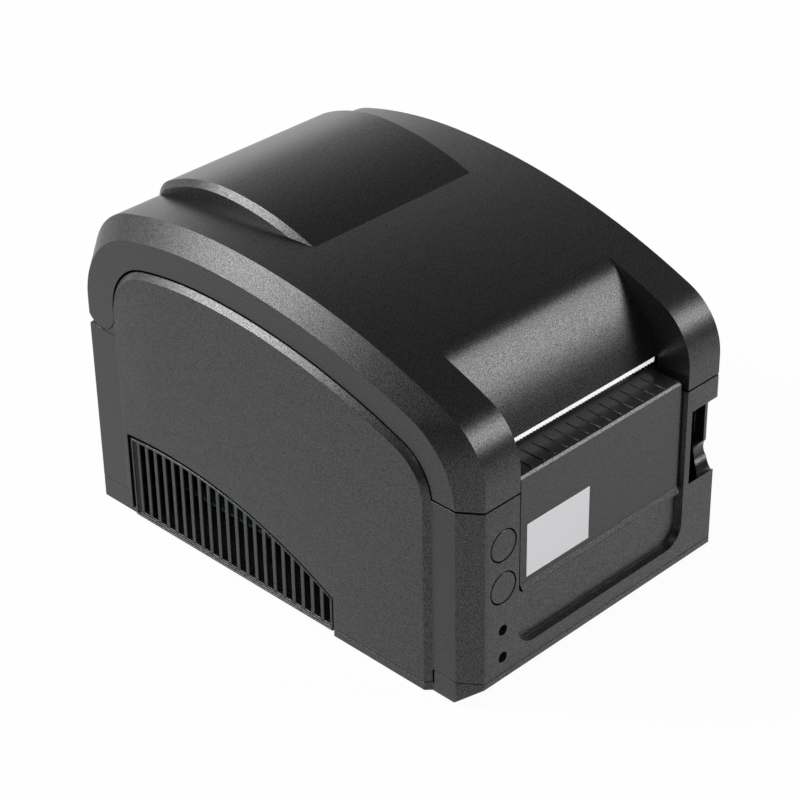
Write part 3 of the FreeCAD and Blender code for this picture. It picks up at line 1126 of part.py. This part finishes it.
# Toothed tear bar under the lip of the scoop
def make_tear_bar():
    _, lip = scoop_form(0.0, d.scoop_half_width, d.pillar_foot)
    half = float(d.tear_bar_half_length)
    step = float(d.tear_tooth_pitch)
    edge = lip.y - float(d.tear_tooth_depth)
    count = int(2 * half / step)
    points = []
    for tooth in range(count):
        start = -half + (2 * half - count * step) / 2 + tooth * step
        points += [(start, lip.y), (start + step / 2, edge)]
    points = [(-half, lip.y)] + points[1:] + [(half, lip.y), (half, lip.y + float(d.tear_bar_depth)),
                                              (-half, lip.y + float(d.tear_bar_depth))]
    return prism(plan_wire(points), (d.lip_height - d.tear_bar_height, d.lip_height), Vector(0, 0, 1))


tear_bar = node(moulded("tear_bar", make_tear_bar()))


# Print head: ceramic strip on an aluminium heatsink that rocks on a cross shaft over two springs
head_y = (platen_y - d.head_front_reach, platen_y + d.head_rear_reach)
head_x = (-d.head_half_length, d.head_half_length)
strip_top = head_top - d.head_line_height
strip = block("head_strip", head_x, head_y, (strip_top - d.head_thickness, strip_top))
heat_line = block("head_line", head_x, (platen_y - d.head_line_width / 2, platen_y + d.head_line_width / 2),
                  (strip_top, head_top))
thermal_head = node(join("thermal_head", strip, heat_line))
sink_top = strip_top - d.head_thickness
sink_plate = block("sink_plate", head_x, (head_y[0], head_pivot[0]), (sink_top - d.heatsink_thickness, sink_top))
sink_hub = rod("sink_hub", "x", head_pivot, head_x, d.head_hub)
sink_web = block("sink_web", head_x, (head_pivot[0] - d.head_hub, head_pivot[0]), (head_pivot[1], sink_top))
sink_blank = join("sink_blank", sink_plate, sink_hub, sink_web)
sink_bore = rod("sink_bore", "x", head_pivot, (head_x[0] - d.wall, head_x[1] + d.wall),
                d.head_pivot_radius + d.running_clearance)
head_heatsink = node(carve("head_heatsink", sink_blank, sink_bore))
head_pivot_shaft = node(rod("head_pivot_shaft", "x", head_pivot,
                            (chassis_left - d.chassis_sheet, chassis_right + d.chassis_sheet), d.head_pivot_radius))
spring_foot = d.chassis_shelf + d.chassis_sheet
spring_length = sink_top - d.heatsink_thickness - spring_foot
head_springs = node(moulded("head_springs", Part.makeCompound([
    coil(vec(sign * float(d.head_spring_x), platen_y, spring_foot), Vector(0, 0, 1), spring_length,
         d.spring_radius, d.spring_wire) for sign in (-1, 1)])))


# Paper guide between the bay and the print head, with the gap sensor in its window
deck_top = deck_height + d.deck_thickness
guide_mouth = front + d.guide_mouth_setback
guide_tail = bay_y - d.bay_radius - d.bay_wall - d.guide_tail_gap
guide_bend = guide_mouth + (guide_tail - guide_mouth) * 4 / 9
guide_roof = head_top - d.guide_drop
guide_under = guide_roof - d.guide_sheet
guide_half = (-d.guide_half_width, d.guide_half_width)
guide_solid = extruded("guide_solid", "YZ_Plane", [
    (guide_mouth, guide_under),
    (guide_mouth, guide_roof),
    (guide_bend, guide_roof),
    (guide_tail, deck_top + d.guide_sheet),
    (guide_tail, deck_top),
    (guide_tail - (guide_tail - guide_bend) * 0.3, deck_top),
    (guide_bend, guide_under),
], guide_half)
flat_run = guide_bend - guide_mouth
sensor_y = (guide_mouth + flat_run * 3 / 8, guide_mouth + flat_run * 6 / 8)
sensor_window = block("sensor_window", (-d.sensor_half_width - d.port_play, d.sensor_half_width + d.port_play),
                      (sensor_y[0] - d.port_play, sensor_y[1] + d.port_play), (guide_under - d.wall, guide_roof + d.wall))
paper_guide = node(carve("paper_guide", guide_solid, sensor_window))
sensor_body = block("sensor_body", (-d.sensor_half_width, d.sensor_half_width), sensor_y,
                    (guide_under - d.sensor_height, guide_roof - d.port_play))
sensor_flange = block("sensor_flange", (-d.sensor_half_width - d.sensor_flange, d.sensor_half_width + d.sensor_flange),
                      sensor_y, (guide_under - d.sensor_flange, guide_under))
gap_sensor = node(join("gap_sensor", sensor_body, sensor_flange))


# Main board with its components, and the sockets in the rear recess
board_x = (-board_left, d.board_right)
board_y = (d.board_front_y, rear - d.board_rear_inset)
main_board = node(block("main_board", board_x, board_y, (d.board_height, board_top)))
chip_centres = [(-board_left / 2, d.board_front_y + d.chip_size * 2), (d.board_right / 2, d.board_front_y + d.chip_size)]
board_chips = node(group("board_chips", [
    block("board_chip_" + str(index), (x - d.chip_size / 2, x + d.chip_size / 2), (y - d.chip_size / 2, y + d.chip_size / 2),
          (board_top, board_top + d.chip_height)) for index, (x, y) in enumerate(chip_centres)]))
port_face = rear - d.port_recess
usb_x = (d.usb_x - d.usb_width / 2, d.usb_x + d.usb_width / 2)
usb_can = block("usb_can", usb_x, (port_face - d.usb_depth, port_face), (board_top, board_top + d.usb_height))
usb_hollow = block("usb_hollow", (usb_x[0] + d.usb_wall, usb_x[1] - d.usb_wall),
                   (port_face - d.usb_hollow, port_face), (board_top + d.usb_wall, board_top + d.usb_height - d.usb_wall))
usb_shell = carve("usb_shell", usb_can, usb_hollow)
usb_middle = board_top + d.usb_height / 2
usb_tongue = block("usb_tongue", (d.usb_x - d.usb_tongue / 2, d.usb_x + d.usb_tongue / 2),
                   (port_face - d.usb_hollow - d.usb_wall, port_face - d.usb_wall),
                   (usb_middle - d.usb_tongue_height / 2, usb_middle + d.usb_tongue_height / 2))
usb_port = node(join("usb_port", usb_shell, usb_tongue))
jack_x = (d.jack_x - d.jack_width / 2, d.jack_x + d.jack_width / 2)
jack_at = (d.jack_x, board_top + d.jack_height / 2)
jack_block = block("jack_block", jack_x, (port_face - d.jack_depth, port_face), (board_top, board_top + d.jack_height))
jack_hole = rod("jack_hole", "y", jack_at, (port_face - d.jack_hollow, port_face), d.jack_hole_radius)
jack_shell = carve("jack_shell", jack_block, jack_hole)
jack_pin = rod("jack_pin", "y", jack_at, (port_face - d.jack_hollow - d.usb_wall, port_face - d.usb_wall), d.jack_pin_radius)
power_jack = node(join("power_jack", jack_shell, jack_pin))

# Power switch: a framed socket and a rocker that tips about a cross pin
power_x = (switch_x - d.power_width / 2, switch_x + d.power_width / 2)
power_z = (d.power_height - d.power_rise / 2, d.power_height + d.power_rise / 2)
switch_well = block("switch_well", power_x, (port_face - d.power_depth, port_face), power_z)
switch_bezel = block("switch_bezel", (power_x[0] - d.power_bezel, power_x[1] + d.power_bezel),
                     (port_face, port_face + d.power_bezel), (power_z[0] - d.power_bezel, power_z[1] + d.power_bezel))
switch_hollow = block("switch_hollow", (power_x[0] + d.power_wall, power_x[1] - d.power_wall),
                      (port_face - d.power_depth + d.power_wall, port_face + d.power_bezel),
                      (power_z[0] + d.power_wall / 2, power_z[1] - d.power_wall / 2))
rocker_at = (port_face - d.rocker_drop, d.power_height)
rocker_pin_hole = rod("rocker_pin_hole", "x", rocker_at,
                      (power_x[0] + d.power_wall / 2, power_x[1] - d.power_wall / 2), d.rocker_pin_radius)
switch_frame = join("switch_frame", switch_well, switch_bezel)
power_switch = node(carve("power_switch", switch_frame, switch_hollow, rocker_pin_hole))


def make_rocker():
    # dished rocker about its own pin, drawn level and then tipped to the off position
    half = float(d.power_rise / 2 - d.power_wall / 2 - d.rocker_play) - float(d.rocker_dish) / 4
    reach, back, dish = float(d.rocker_reach), float(d.rocker_back), float(d.rocker_dish)
    low, high = Vector(0, reach, -half), Vector(0, reach, half)
    dished = Part.Arc(low, Vector(0, reach - dish, 0), high).toShape()
    wire = Part.Wire([dished, line(high, Vector(0, -back, half)), line(Vector(0, -back, half), Vector(0, -back, -half)),
                      line(Vector(0, -back, -half), low)])
    inside = (power_x[0] + d.power_wall + d.port_play, power_x[1] - d.power_wall - d.port_play)
    body = prism(wire, inside)
    pin_x = (power_x[0] + d.power_wall / 2 + d.port_play, power_x[1] - d.power_wall / 2 - d.port_play)
    body = body.fuse(solid_rod("x", (0, 0), pin_x, d.rocker_pin_radius - d.running_clearance))
    body.rotate(Vector(), Vector(1, 0, 0), float(d.rocker_tilt))
    body.translate(vec(0, *rocker_at))
    return body


power_rocker = node(moulded("power_rocker", make_rocker()))

# Every object has to be sound before anything is written
doc.recompute()
for item in doc.Objects:
    if {"Invalid", "Error"} & set(item.State):
        raise RuntimeError("failed object: " + item.Name + " " + str(item.State))
for item in subparts:
    if item.Shape.isNull() or not item.Shape.isValid() or not item.Shape.Solids:
        raise RuntimeError("bad shape: " + item.Label)

os.makedirs("parts", exist_ok=True)
for item in subparts:
    item.Shape.exportStep("parts/" + item.Label + ".step")
    print(item.Label, len(item.Shape.Solids), round(item.Shape.Volume / 1000, 2))
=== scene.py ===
import json
import math

import bpy
from mathutils import Matrix, Vector

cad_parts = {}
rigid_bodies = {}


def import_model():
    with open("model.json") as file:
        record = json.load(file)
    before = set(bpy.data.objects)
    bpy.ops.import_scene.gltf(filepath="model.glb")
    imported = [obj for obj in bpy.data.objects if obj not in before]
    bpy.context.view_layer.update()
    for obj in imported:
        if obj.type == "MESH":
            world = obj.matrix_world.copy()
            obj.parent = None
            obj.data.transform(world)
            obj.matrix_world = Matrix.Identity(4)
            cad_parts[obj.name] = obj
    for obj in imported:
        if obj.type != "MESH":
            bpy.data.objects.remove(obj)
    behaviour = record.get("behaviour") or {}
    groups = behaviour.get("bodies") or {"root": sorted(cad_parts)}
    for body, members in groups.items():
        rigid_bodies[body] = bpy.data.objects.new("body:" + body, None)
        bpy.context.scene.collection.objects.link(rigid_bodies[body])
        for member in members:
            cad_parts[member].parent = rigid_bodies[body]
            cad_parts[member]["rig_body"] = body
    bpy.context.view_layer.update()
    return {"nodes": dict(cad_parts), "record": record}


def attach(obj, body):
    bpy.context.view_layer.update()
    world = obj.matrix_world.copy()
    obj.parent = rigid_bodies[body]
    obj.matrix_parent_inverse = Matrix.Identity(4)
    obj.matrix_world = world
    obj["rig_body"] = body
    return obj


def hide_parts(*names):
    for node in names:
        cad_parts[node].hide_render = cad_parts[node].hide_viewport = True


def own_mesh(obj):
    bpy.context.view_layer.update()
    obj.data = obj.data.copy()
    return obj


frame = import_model()
nodes = frame["nodes"]
scene = bpy.context.scene
print("frame loaded with", len(nodes), "nodes")

# camera at the photograph's viewing angle, metres
cameraSettings = {
    "place": (-0.6515, -0.6522, 0.6357),
    "right": (0.70210, -0.71193, -0.01412),
    "up": (0.38268, 0.36053, 0.85063),
    "back": (-0.60050, -0.60264, 0.52557),
    "lens": 110.19,
    "sensor": 36.0,
}


def placeCamera(settings):
    data = bpy.data.cameras.new("studioCamera")
    data.lens = settings["lens"]
    data.sensor_width = settings["sensor"]
    camera = bpy.data.objects.new("studioCamera", data)
    turn = Matrix([settings[side] for side in ("right", "up", "back")]).transposed()
    camera.matrix_world = Matrix.Translation(settings["place"]) @ turn.to_4x4()
    scene.collection.objects.link(camera)
    scene.camera = camera


placeCamera(cameraSettings)

studioSettings = {
    "ambient": (1.0, 1.0, 1.02),
    "skyLow": 1.5,  # backdrop level at the horizon
    "skyHigh": 0.02,  # level overhead
    "skyHeading": (0.71, 0.71, 0),  # towards the rear right
    "skySpread": (-0.1, 0.6),  # parts of a direction along that heading
    "skySide": (0.1, 1.0),  # share of the backdrop at each end of the spread
    "skyBand": (0.0, 0.84),  # heights of the fade, as the upward part of a direction
    "floorColour": (0.80, 0.80, 0.80),
    "floorGlow": 0.96,  # share of plain white that the floor shows to the camera
    "floorSize": 8.0,
    "lamps": {
        "backSoftbox": {"place": (-1.08, 1.08, 1.25), "aim": (0, 0, 0.08),
                        "size": (0.85, 0.85), "power": 34},
        "frontSoftbox": {"place": (1.15, -1.2, 1.1), "aim": (0, -0.05, 0.1),
                         "size": (0.75, 0.75), "power": 15.5},
        "topSoftbox": {"place": (-0.9, -0.9, 1.7), "aim": (0, 0, 0.1),
                       "size": (1.2, 1.2), "power": 10},
    },
}


def buildStudio(settings):
    world = bpy.data.worlds.new("studio")
    world.use_nodes = True
    sky = world.node_tree
    backdrop = sky.nodes["Background"]
    backdrop.inputs["Color"].default_value = (*settings["ambient"], 1)
    direction = sky.nodes.new("ShaderNodeTexCoord")
    parts = sky.nodes.new("ShaderNodeSeparateXYZ")
    sky.links.new(direction.outputs["Generated"], parts.inputs["Vector"])
    fade = sky.nodes.new("ShaderNodeMapRange")
    fade.interpolation_type = "SMOOTHSTEP"
    fade.inputs["From Min"].default_value = settings["skyBand"][0]
    fade.inputs["From Max"].default_value = settings["skyBand"][1]
    fade.inputs["To Min"].default_value = settings["skyLow"]
    fade.inputs["To Max"].default_value = settings["skyHigh"]
    sky.links.new(parts.outputs["Z"], fade.inputs["Value"])
    across = sky.nodes.new("ShaderNodeVectorMath")
    across.operation = "DOT_PRODUCT"
    across.inputs[1].default_value = settings["skyHeading"]
    sky.links.new(direction.outputs["Generated"], across.inputs[0])
    sided = sky.nodes.new("ShaderNodeMapRange")
    sided.interpolation_type = "SMOOTHSTEP"
    sided.inputs["From Min"].default_value = settings["skySpread"][0]
    sided.inputs["From Max"].default_value = settings["skySpread"][1]
    sided.inputs["To Min"].default_value = settings["skySide"][0]
    sided.inputs["To Max"].default_value = settings["skySide"][1]
    sky.links.new(across.outputs["Value"], sided.inputs["Value"])
    level = sky.nodes.new("ShaderNodeMath")
    level.operation = "MULTIPLY"
    sky.links.new(fade.outputs["Result"], level.inputs[0])
    sky.links.new(sided.outputs["Result"], level.inputs[1])
    sky.links.new(level.outputs[0], backdrop.inputs["Strength"])
    scene.world = world
    scene.view_settings.view_transform = "Standard"
    bpy.ops.object.select_all(action="DESELECT")
    bpy.ops.mesh.primitive_plane_add(size=settings["floorSize"], location=(0, 0, 0))
    floor = bpy.context.active_object
    floor.name = "studioFloor"
    material = bpy.data.materials.new("studioFloor")
    material.use_nodes = True
    tree = material.node_tree
    tree.nodes.clear()
    output = tree.nodes.new("ShaderNodeOutputMaterial")
    paint = tree.nodes.new("ShaderNodeBsdfDiffuse")
    paint.inputs["Color"].default_value = (*settings["floorColour"], 1)
    glow = tree.nodes.new("ShaderNodeEmission")
    path = tree.nodes.new("ShaderNodeLightPath")
    anySeen = tree.nodes.new("ShaderNodeMath")
    anySeen.operation = "MAXIMUM"
    tree.links.new(path.outputs["Is Camera Ray"], anySeen.inputs[0])
    tree.links.new(path.outputs["Is Glossy Ray"], anySeen.inputs[1])
    share = tree.nodes.new("ShaderNodeMath")
    share.operation = "MULTIPLY"
    share.inputs[1].default_value = settings["floorGlow"]
    tree.links.new(anySeen.outputs[0], share.inputs[0])
    mix = tree.nodes.new("ShaderNodeMixShader")
    tree.links.new(share.outputs[0], mix.inputs[0])
    tree.links.new(paint.outputs[0], mix.inputs[1])
    tree.links.new(glow.outputs[0], mix.inputs[2])
    tree.links.new(mix.outputs[0], output.inputs["Surface"])
    floor.data.materials.append(material)
    for name, lamp in settings["lamps"].items():
        data = bpy.data.lights.new(name, "AREA")
        data.shape = "RECTANGLE"
        data.size, data.size_y = lamp["size"]
        data.energy = lamp["power"]
        holder = bpy.data.objects.new(name, data)
        place = Vector(lamp["place"])
        heading = Vector(lamp["aim"]) - place
        turn = heading.to_track_quat("-Z", "Y").to_matrix().to_4x4()
        holder.matrix_world = Matrix.Translation(place) @ turn
        scene.collection.objects.link(holder)


buildStudio(studioSettings)
print("camera, floor and lamps placed")

finishes = {
    "case": {"colour": (0.0075, 0.0075, 0.0080), "rough": 0.31, "grain": 2300, "bump": 0.12, "tint": 0.75,
             "spark": 0.34},
    "trim": {"colour": (0.0085, 0.0085, 0.0090), "rough": 0.33, "grain": 2300, "bump": 0.12, "tint": 0.7,
             "spark": 0.30},
    "inner": {"colour": (0.030, 0.030, 0.032), "rough": 0.50, "grain": 1500, "bump": 0.12, "spark": 0.08},
    "label": {"colour": (0.82, 0.82, 0.84), "rough": 0.50, "grain": 900, "bump": 0.02, "tint": 0.02},
    "rubber": {"colour": (0.022, 0.022, 0.023), "rough": 0.70, "grain": 1500, "bump": 0.15},
    "steel": {"colour": (0.56, 0.57, 0.58), "rough": 0.34, "metal": 1.0, "grain": 1400, "bump": 0.03,
              "tint": 0.06},
    # the tear bar's glow is painted light: white emission that makes the bar show as a bright highlight
    # with no lamp on it
    "bright_steel": {"colour": (0.95, 0.95, 0.94), "rough": 0.30, "metal": 0.1, "grain": 900, "bump": 0.01,
                     "tint": 0.02, "glow": 0.5},
    "aluminium": {"colour": (0.70, 0.71, 0.73), "rough": 0.40, "metal": 1.0, "grain": 1200, "bump": 0.04,
                  "tint": 0.05},
    "ceramic": {"colour": (0.72, 0.70, 0.66), "rough": 0.20, "grain": 700, "bump": 0.01, "tint": 0.03},
    "gear": {"colour": (0.028, 0.028, 0.030), "rough": 0.40, "grain": 1200, "bump": 0.03, "tint": 0.04},
    "brass": {"colour": (0.30, 0.20, 0.09), "rough": 0.35, "metal": 1.0, "grain": 1200, "bump": 0.04,
              "tint": 0.06},
    "board": {"colour": (0.004, 0.026, 0.014), "rough": 0.45, "grain": 700, "bump": 0.03},
    "chip": {"colour": (0.015, 0.015, 0.016), "rough": 0.50, "grain": 2200, "bump": 0.06},
    "light": {"colour": (0.012, 0.012, 0.013), "rough": 0.15, "grain": 600, "bump": 0.01},
}

grainSettings = {
    "detail": 2.0,
    "depth": 0.0002,
    "tint": 0.15,  # colour change where a finish names none
    "sheen": 0.05,  # change of roughness
    "gloss": 0.55,  # middle level of the glints
    "span": (0.36, 0.64),  # part of the noise that the glints use
}


def makeFinish(name, look):
    material = bpy.data.materials.new(name)
    material.use_nodes = True
    tree = material.node_tree
    shader = tree.nodes["Principled BSDF"]
    shader.inputs["Metallic"].default_value = look.get("metal", 0.0)
    place = tree.nodes.new("ShaderNodeTexCoord")
    grain = tree.nodes.new("ShaderNodeTexNoise")
    grain.inputs["Scale"].default_value = look["grain"]
    grain.inputs["Detail"].default_value = grainSettings["detail"]
    tree.links.new(place.outputs["Object"], grain.inputs["Vector"])
    bump = tree.nodes.new("ShaderNodeBump")
    bump.inputs["Strength"].default_value = look["bump"]
    bump.inputs["Distance"].default_value = grainSettings["depth"]
    tree.links.new(grain.outputs["Fac"], bump.inputs["Height"])
    tree.links.new(bump.outputs["Normal"], shader.inputs["Normal"])
    shade = tree.nodes.new("ShaderNodeMix")
    shade.data_type = "RGBA"
    colour = Vector(look["colour"])
    tint = look.get("tint", grainSettings["tint"])
    shade.inputs["A"].default_value = (*(colour * (1 - tint)), 1)
    shade.inputs["B"].default_value = (*(colour * (1 + tint)), 1)
    tree.links.new(grain.outputs["Fac"], shade.inputs["Factor"])
    tree.links.new(shade.outputs["Result"], shader.inputs["Base Color"])
    sheen = tree.nodes.new("ShaderNodeMapRange")
    sheen.inputs["To Min"].default_value = look["rough"] - grainSettings["sheen"]
    sheen.inputs["To Max"].default_value = look["rough"] + grainSettings["sheen"]
    tree.links.new(grain.outputs["Fac"], sheen.inputs["Value"])
    tree.links.new(sheen.outputs["Result"], shader.inputs["Roughness"])
    # glow is painted light: emission standing in for a highlight on a part that is no lamp
    if "glow" in look:
        shader.inputs["Emission Color"].default_value = (1, 1, 1, 1)
        shader.inputs["Emission Strength"].default_value = look["glow"]
    if "spark" in look:
        glint = tree.nodes.new("ShaderNodeMapRange")
        glint.inputs["From Min"].default_value = grainSettings["span"][0]
        glint.inputs["From Max"].default_value = grainSettings["span"][1]
        glint.inputs["To Min"].default_value = grainSettings["gloss"] - look["spark"]
        glint.inputs["To Max"].default_value = grainSettings["gloss"] + look["spark"]
        tree.links.new(grain.outputs["Fac"], glint.inputs["Value"])
        tree.links.new(glint.outputs["Result"], shader.inputs["Specular IOR Level"])
    return material


made = {name: makeFinish(name, look) for name, look in finishes.items()}
slotOf = {entry["node"]: entry["material_slot"] for entry in frame["record"]["subparts"]}
for name, node in nodes.items():
    node.data.materials.clear()
    node.data.materials.append(made[slotOf[name]])
print("finishes given to the nodes")

# edge rounding in metres; a vent sits back in its opening and a button keeps a ring of shadow
mouldings = {
    "top_cover": {"edge": 0.0006},  # clamped to almost nothing: the full width leaves spikes by the scoop
    "main_housing": {"edge": 0.0005},
    "bottom_tray": {"edge": 0.0004},
    "front_cover": {"edge": 0.00015, "full": True},
    "left_vent_grille": {"edge": 0.00035, "full": True, "rim": -1, "hold": "foot",
                         "shrink": (1, 0.986, 0.966)},
    "right_vent_grille": {"edge": 0.00035, "full": True, "rim": 1, "hold": "foot",
                          "shrink": (1, 0.986, 0.966)},
    "upper_button": {"edge": 0.0007, "shrink": (0.94, 1, 0.94)},
    "lower_button": {"edge": 0.0007, "shrink": (0.94, 1, 0.94)},
    "release_lever": {"edge": 0.0004},
    "power_rocker": {"edge": 0.0004},
}

# merging in metres, angles in degrees
edgeSettings = {"merge": 0.00001, "sliver": 0.000008, "flat": 0.5, "steps": 3, "corner": 25, "smooth": 9,
                "coilSmooth": 40}


def selectOnly(piece):
    bpy.ops.object.select_all(action="DESELECT")
    bpy.context.view_layer.objects.active = piece
    piece.select_set(True)


# rim left standing round a vent's bars: outline of the recess as y and z, metres
rimSettings = {"width": 0.0012, "recess": 0.0010, "ends": (-0.0385, 0.0925), "foot": 0.0029,
               "archTop": 0.0470, "archRadius": 0.2300, "archMiddle": 0.0680, "face": 0.0820,
               "steps": 512, "cutterHeight": 0.1}


def cutAway(piece, cutter, operation):
    selectOnly(piece)
    cut = piece.modifiers.new("cut", "BOOLEAN")
    cut.operation = operation
    cut.solver = "EXACT"
    cut.object = cutter
    bpy.ops.object.modifier_apply(modifier=cut.name)
    bpy.data.objects.remove(cutter, do_unlink=True)


def standRim(piece, side, settings):
    width = settings["width"]
    depth = settings["recess"] * 2
    faceX = side * settings["face"]
    bpy.ops.object.select_all(action="DESELECT")
    bpy.ops.mesh.primitive_cylinder_add(
        vertices=settings["steps"], radius=settings["archRadius"] - width, depth=depth,
        location=(faceX, settings["archMiddle"], settings["archTop"] - settings["archRadius"]),
        rotation=(0, math.pi / 2, 0))
    recess = bpy.context.active_object
    low = settings["foot"] + width
    length = settings["ends"][1] - settings["ends"][0] - 2 * width
    bpy.ops.object.select_all(action="DESELECT")
    bpy.ops.mesh.primitive_cube_add(
        size=1, location=(faceX, sum(settings["ends"]) / 2, low + settings["cutterHeight"] / 2),
        scale=(depth * 2, length, settings["cutterHeight"]))
    cutAway(recess, bpy.context.active_object, "INTERSECT")
    cutAway(piece, recess, "DIFFERENCE")


def mergedCopy(nodeName, ending):
    piece = bpy.data.objects.new(nodeName + ending, nodes[nodeName].data.copy())
    scene.collection.objects.link(piece)
    selectOnly(piece)
    bpy.ops.mesh.customdata_custom_splitnormals_clear()
    bpy.ops.object.mode_set(mode="EDIT")
    bpy.ops.mesh.select_all(action="SELECT")
    bpy.ops.mesh.remove_doubles(threshold=edgeSettings["merge"])
    return piece  # left in edit mode, all selected


def bevelledCopy(nodeName, shape):
    source = nodes[nodeName]
    piece = mergedCopy(nodeName, "_skin")
    bpy.ops.mesh.dissolve_limited(angle_limit=math.radians(edgeSettings["flat"]))
    corners = [Vector(corner) for corner in source.bound_box]
    centre = sum(corners, Vector()) / len(corners)
    if shape.get("hold") == "foot":
        centre.z = min(corner.z for corner in corners)
    if "rim" in shape:
        bpy.ops.object.mode_set(mode="OBJECT")
        standRim(piece, shape["rim"], rimSettings)
        bpy.ops.object.mode_set(mode="EDIT")
        bpy.ops.mesh.select_all(action="SELECT")
    if "shrink" in shape:
        bpy.ops.transform.resize(value=shape["shrink"], center_override=centre)
    bpy.ops.object.mode_set(mode="OBJECT")
    bevel = piece.modifiers.new("edges", "BEVEL")
    bevel.width = shape["edge"]
    bevel.segments = edgeSettings["steps"]
    bevel.limit_method = "ANGLE"
    bevel.use_clamp_overlap = not shape.get("full", False)  # full rounding past short edges
    bevel.angle_limit = math.radians(edgeSettings["corner"])
    bpy.ops.object.modifier_apply(modifier=bevel.name)
    bpy.ops.object.mode_set(mode="EDIT")
    bpy.ops.mesh.select_all(action="SELECT")
    bpy.ops.mesh.remove_doubles(threshold=edgeSettings["sliver"])  # slivers that the rounding leaves
    bpy.ops.object.mode_set(mode="OBJECT")
    bpy.ops.object.shade_smooth_by_angle(angle=math.radians(edgeSettings["smooth"]))
    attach(piece, source["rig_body"])
    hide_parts(nodeName)


for nodeName, shape in mouldings.items():
    bevelledCopy(nodeName, shape)
print("edges rounded")

labelSettings = {"edge": 0.00006}


def makeLabel(settings):
    # bare rectangular sticker, as large as the solid it stands for
    source = nodes["front_label"]
    corners = [Vector(corner) for corner in source.bound_box]
    low = Vector([min(corner[axis] for corner in corners) for axis in range(3)])
    high = Vector([max(corner[axis] for corner in corners) for axis in range(3)])
    bpy.ops.object.select_all(action="DESELECT")
    bpy.ops.mesh.primitive_cube_add(size=1, location=(low + high) / 2, scale=high - low)
    sticker = bpy.context.active_object
    sticker.name = "front_label_sheet"
    bpy.ops.object.transform_apply(location=True, rotation=True, scale=True)
    bpy.ops.object.mode_set(mode="EDIT")
    bpy.ops.mesh.select_all(action="SELECT")
    bpy.ops.mesh.bevel(offset=settings["edge"], segments=1, affect="EDGES")
    bpy.ops.object.mode_set(mode="OBJECT")
    sticker.data.materials.append(made["label"])
    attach(sticker, source["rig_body"])
    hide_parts("front_label")


makeLabel(labelSettings)
print("label laid on the front cover")

# coils copied and smoothed; the joint, axis, seat and keep given here are not used, metres
springSettings = {
    "lever_spring": {"joint": "lever_pivot", "axis": (0, 1, 0), "seat": (0.068, -0.0913, 0.0702),
                     "keep": 0.42},
    "head_springs": {"joint": "head_pivot", "axis": (0, 0, 1), "seat": (0, -0.086, 0.0905),
                     "keep": 0.84},
}


def seatSpring(nodeName):
    source = nodes[nodeName]
    coil = mergedCopy(nodeName, "_coil")
    bpy.ops.object.mode_set(mode="OBJECT")
    bpy.ops.object.shade_smooth_by_angle(angle=math.radians(edgeSettings["coilSmooth"]))
    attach(coil, source["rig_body"])
    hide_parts(nodeName)
    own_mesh(coil)


for nodeName, settings in springSettings.items():
    seatSpring(nodeName)
print("springs seated")

# wall that follows the round end of the cover at the hinge, metres
cheekSettings = {"hinge": (0.1079, 0.1040), "round": 0.0101, "front": 0.0974, "foot": 0.0934,
                 "outside": 0.0800, "wall": 0.0025, "steps": 128, "cutterLength": 0.02}


def makeHingeCheek(side, settings):
    hingeY, hingeZ = settings["hinge"]
    size = Vector((settings["wall"], hingeY - settings["front"], hingeZ - settings["foot"]))
    middle = Vector((side * (settings["outside"] - settings["wall"] / 2),
                     settings["front"] + size.y / 2, settings["foot"] + size.z / 2))
    bpy.ops.object.select_all(action="DESELECT")
    bpy.ops.mesh.primitive_cylinder_add(
        vertices=settings["steps"], radius=settings["round"], depth=settings["cutterLength"],
        location=(middle.x, hingeY, hingeZ), rotation=(0, math.pi / 2, 0))
    cutter = bpy.context.active_object
    bpy.ops.object.select_all(action="DESELECT")
    bpy.ops.mesh.primitive_cube_add(size=1, location=middle, scale=size)
    cheek = bpy.context.active_object
    cheek.name = ("left" if side < 0 else "right") + "_hinge_cheek"
    bpy.ops.object.transform_apply(location=True, rotation=True, scale=True)
    cutAway(cheek, cutter, "DIFFERENCE")
    cheek.data.materials.append(made["case"])
    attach(cheek, nodes["main_housing"]["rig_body"])


for side in (-1, 1):
    makeHingeCheek(side, cheekSettings)
print("hinge cheeks fitted")
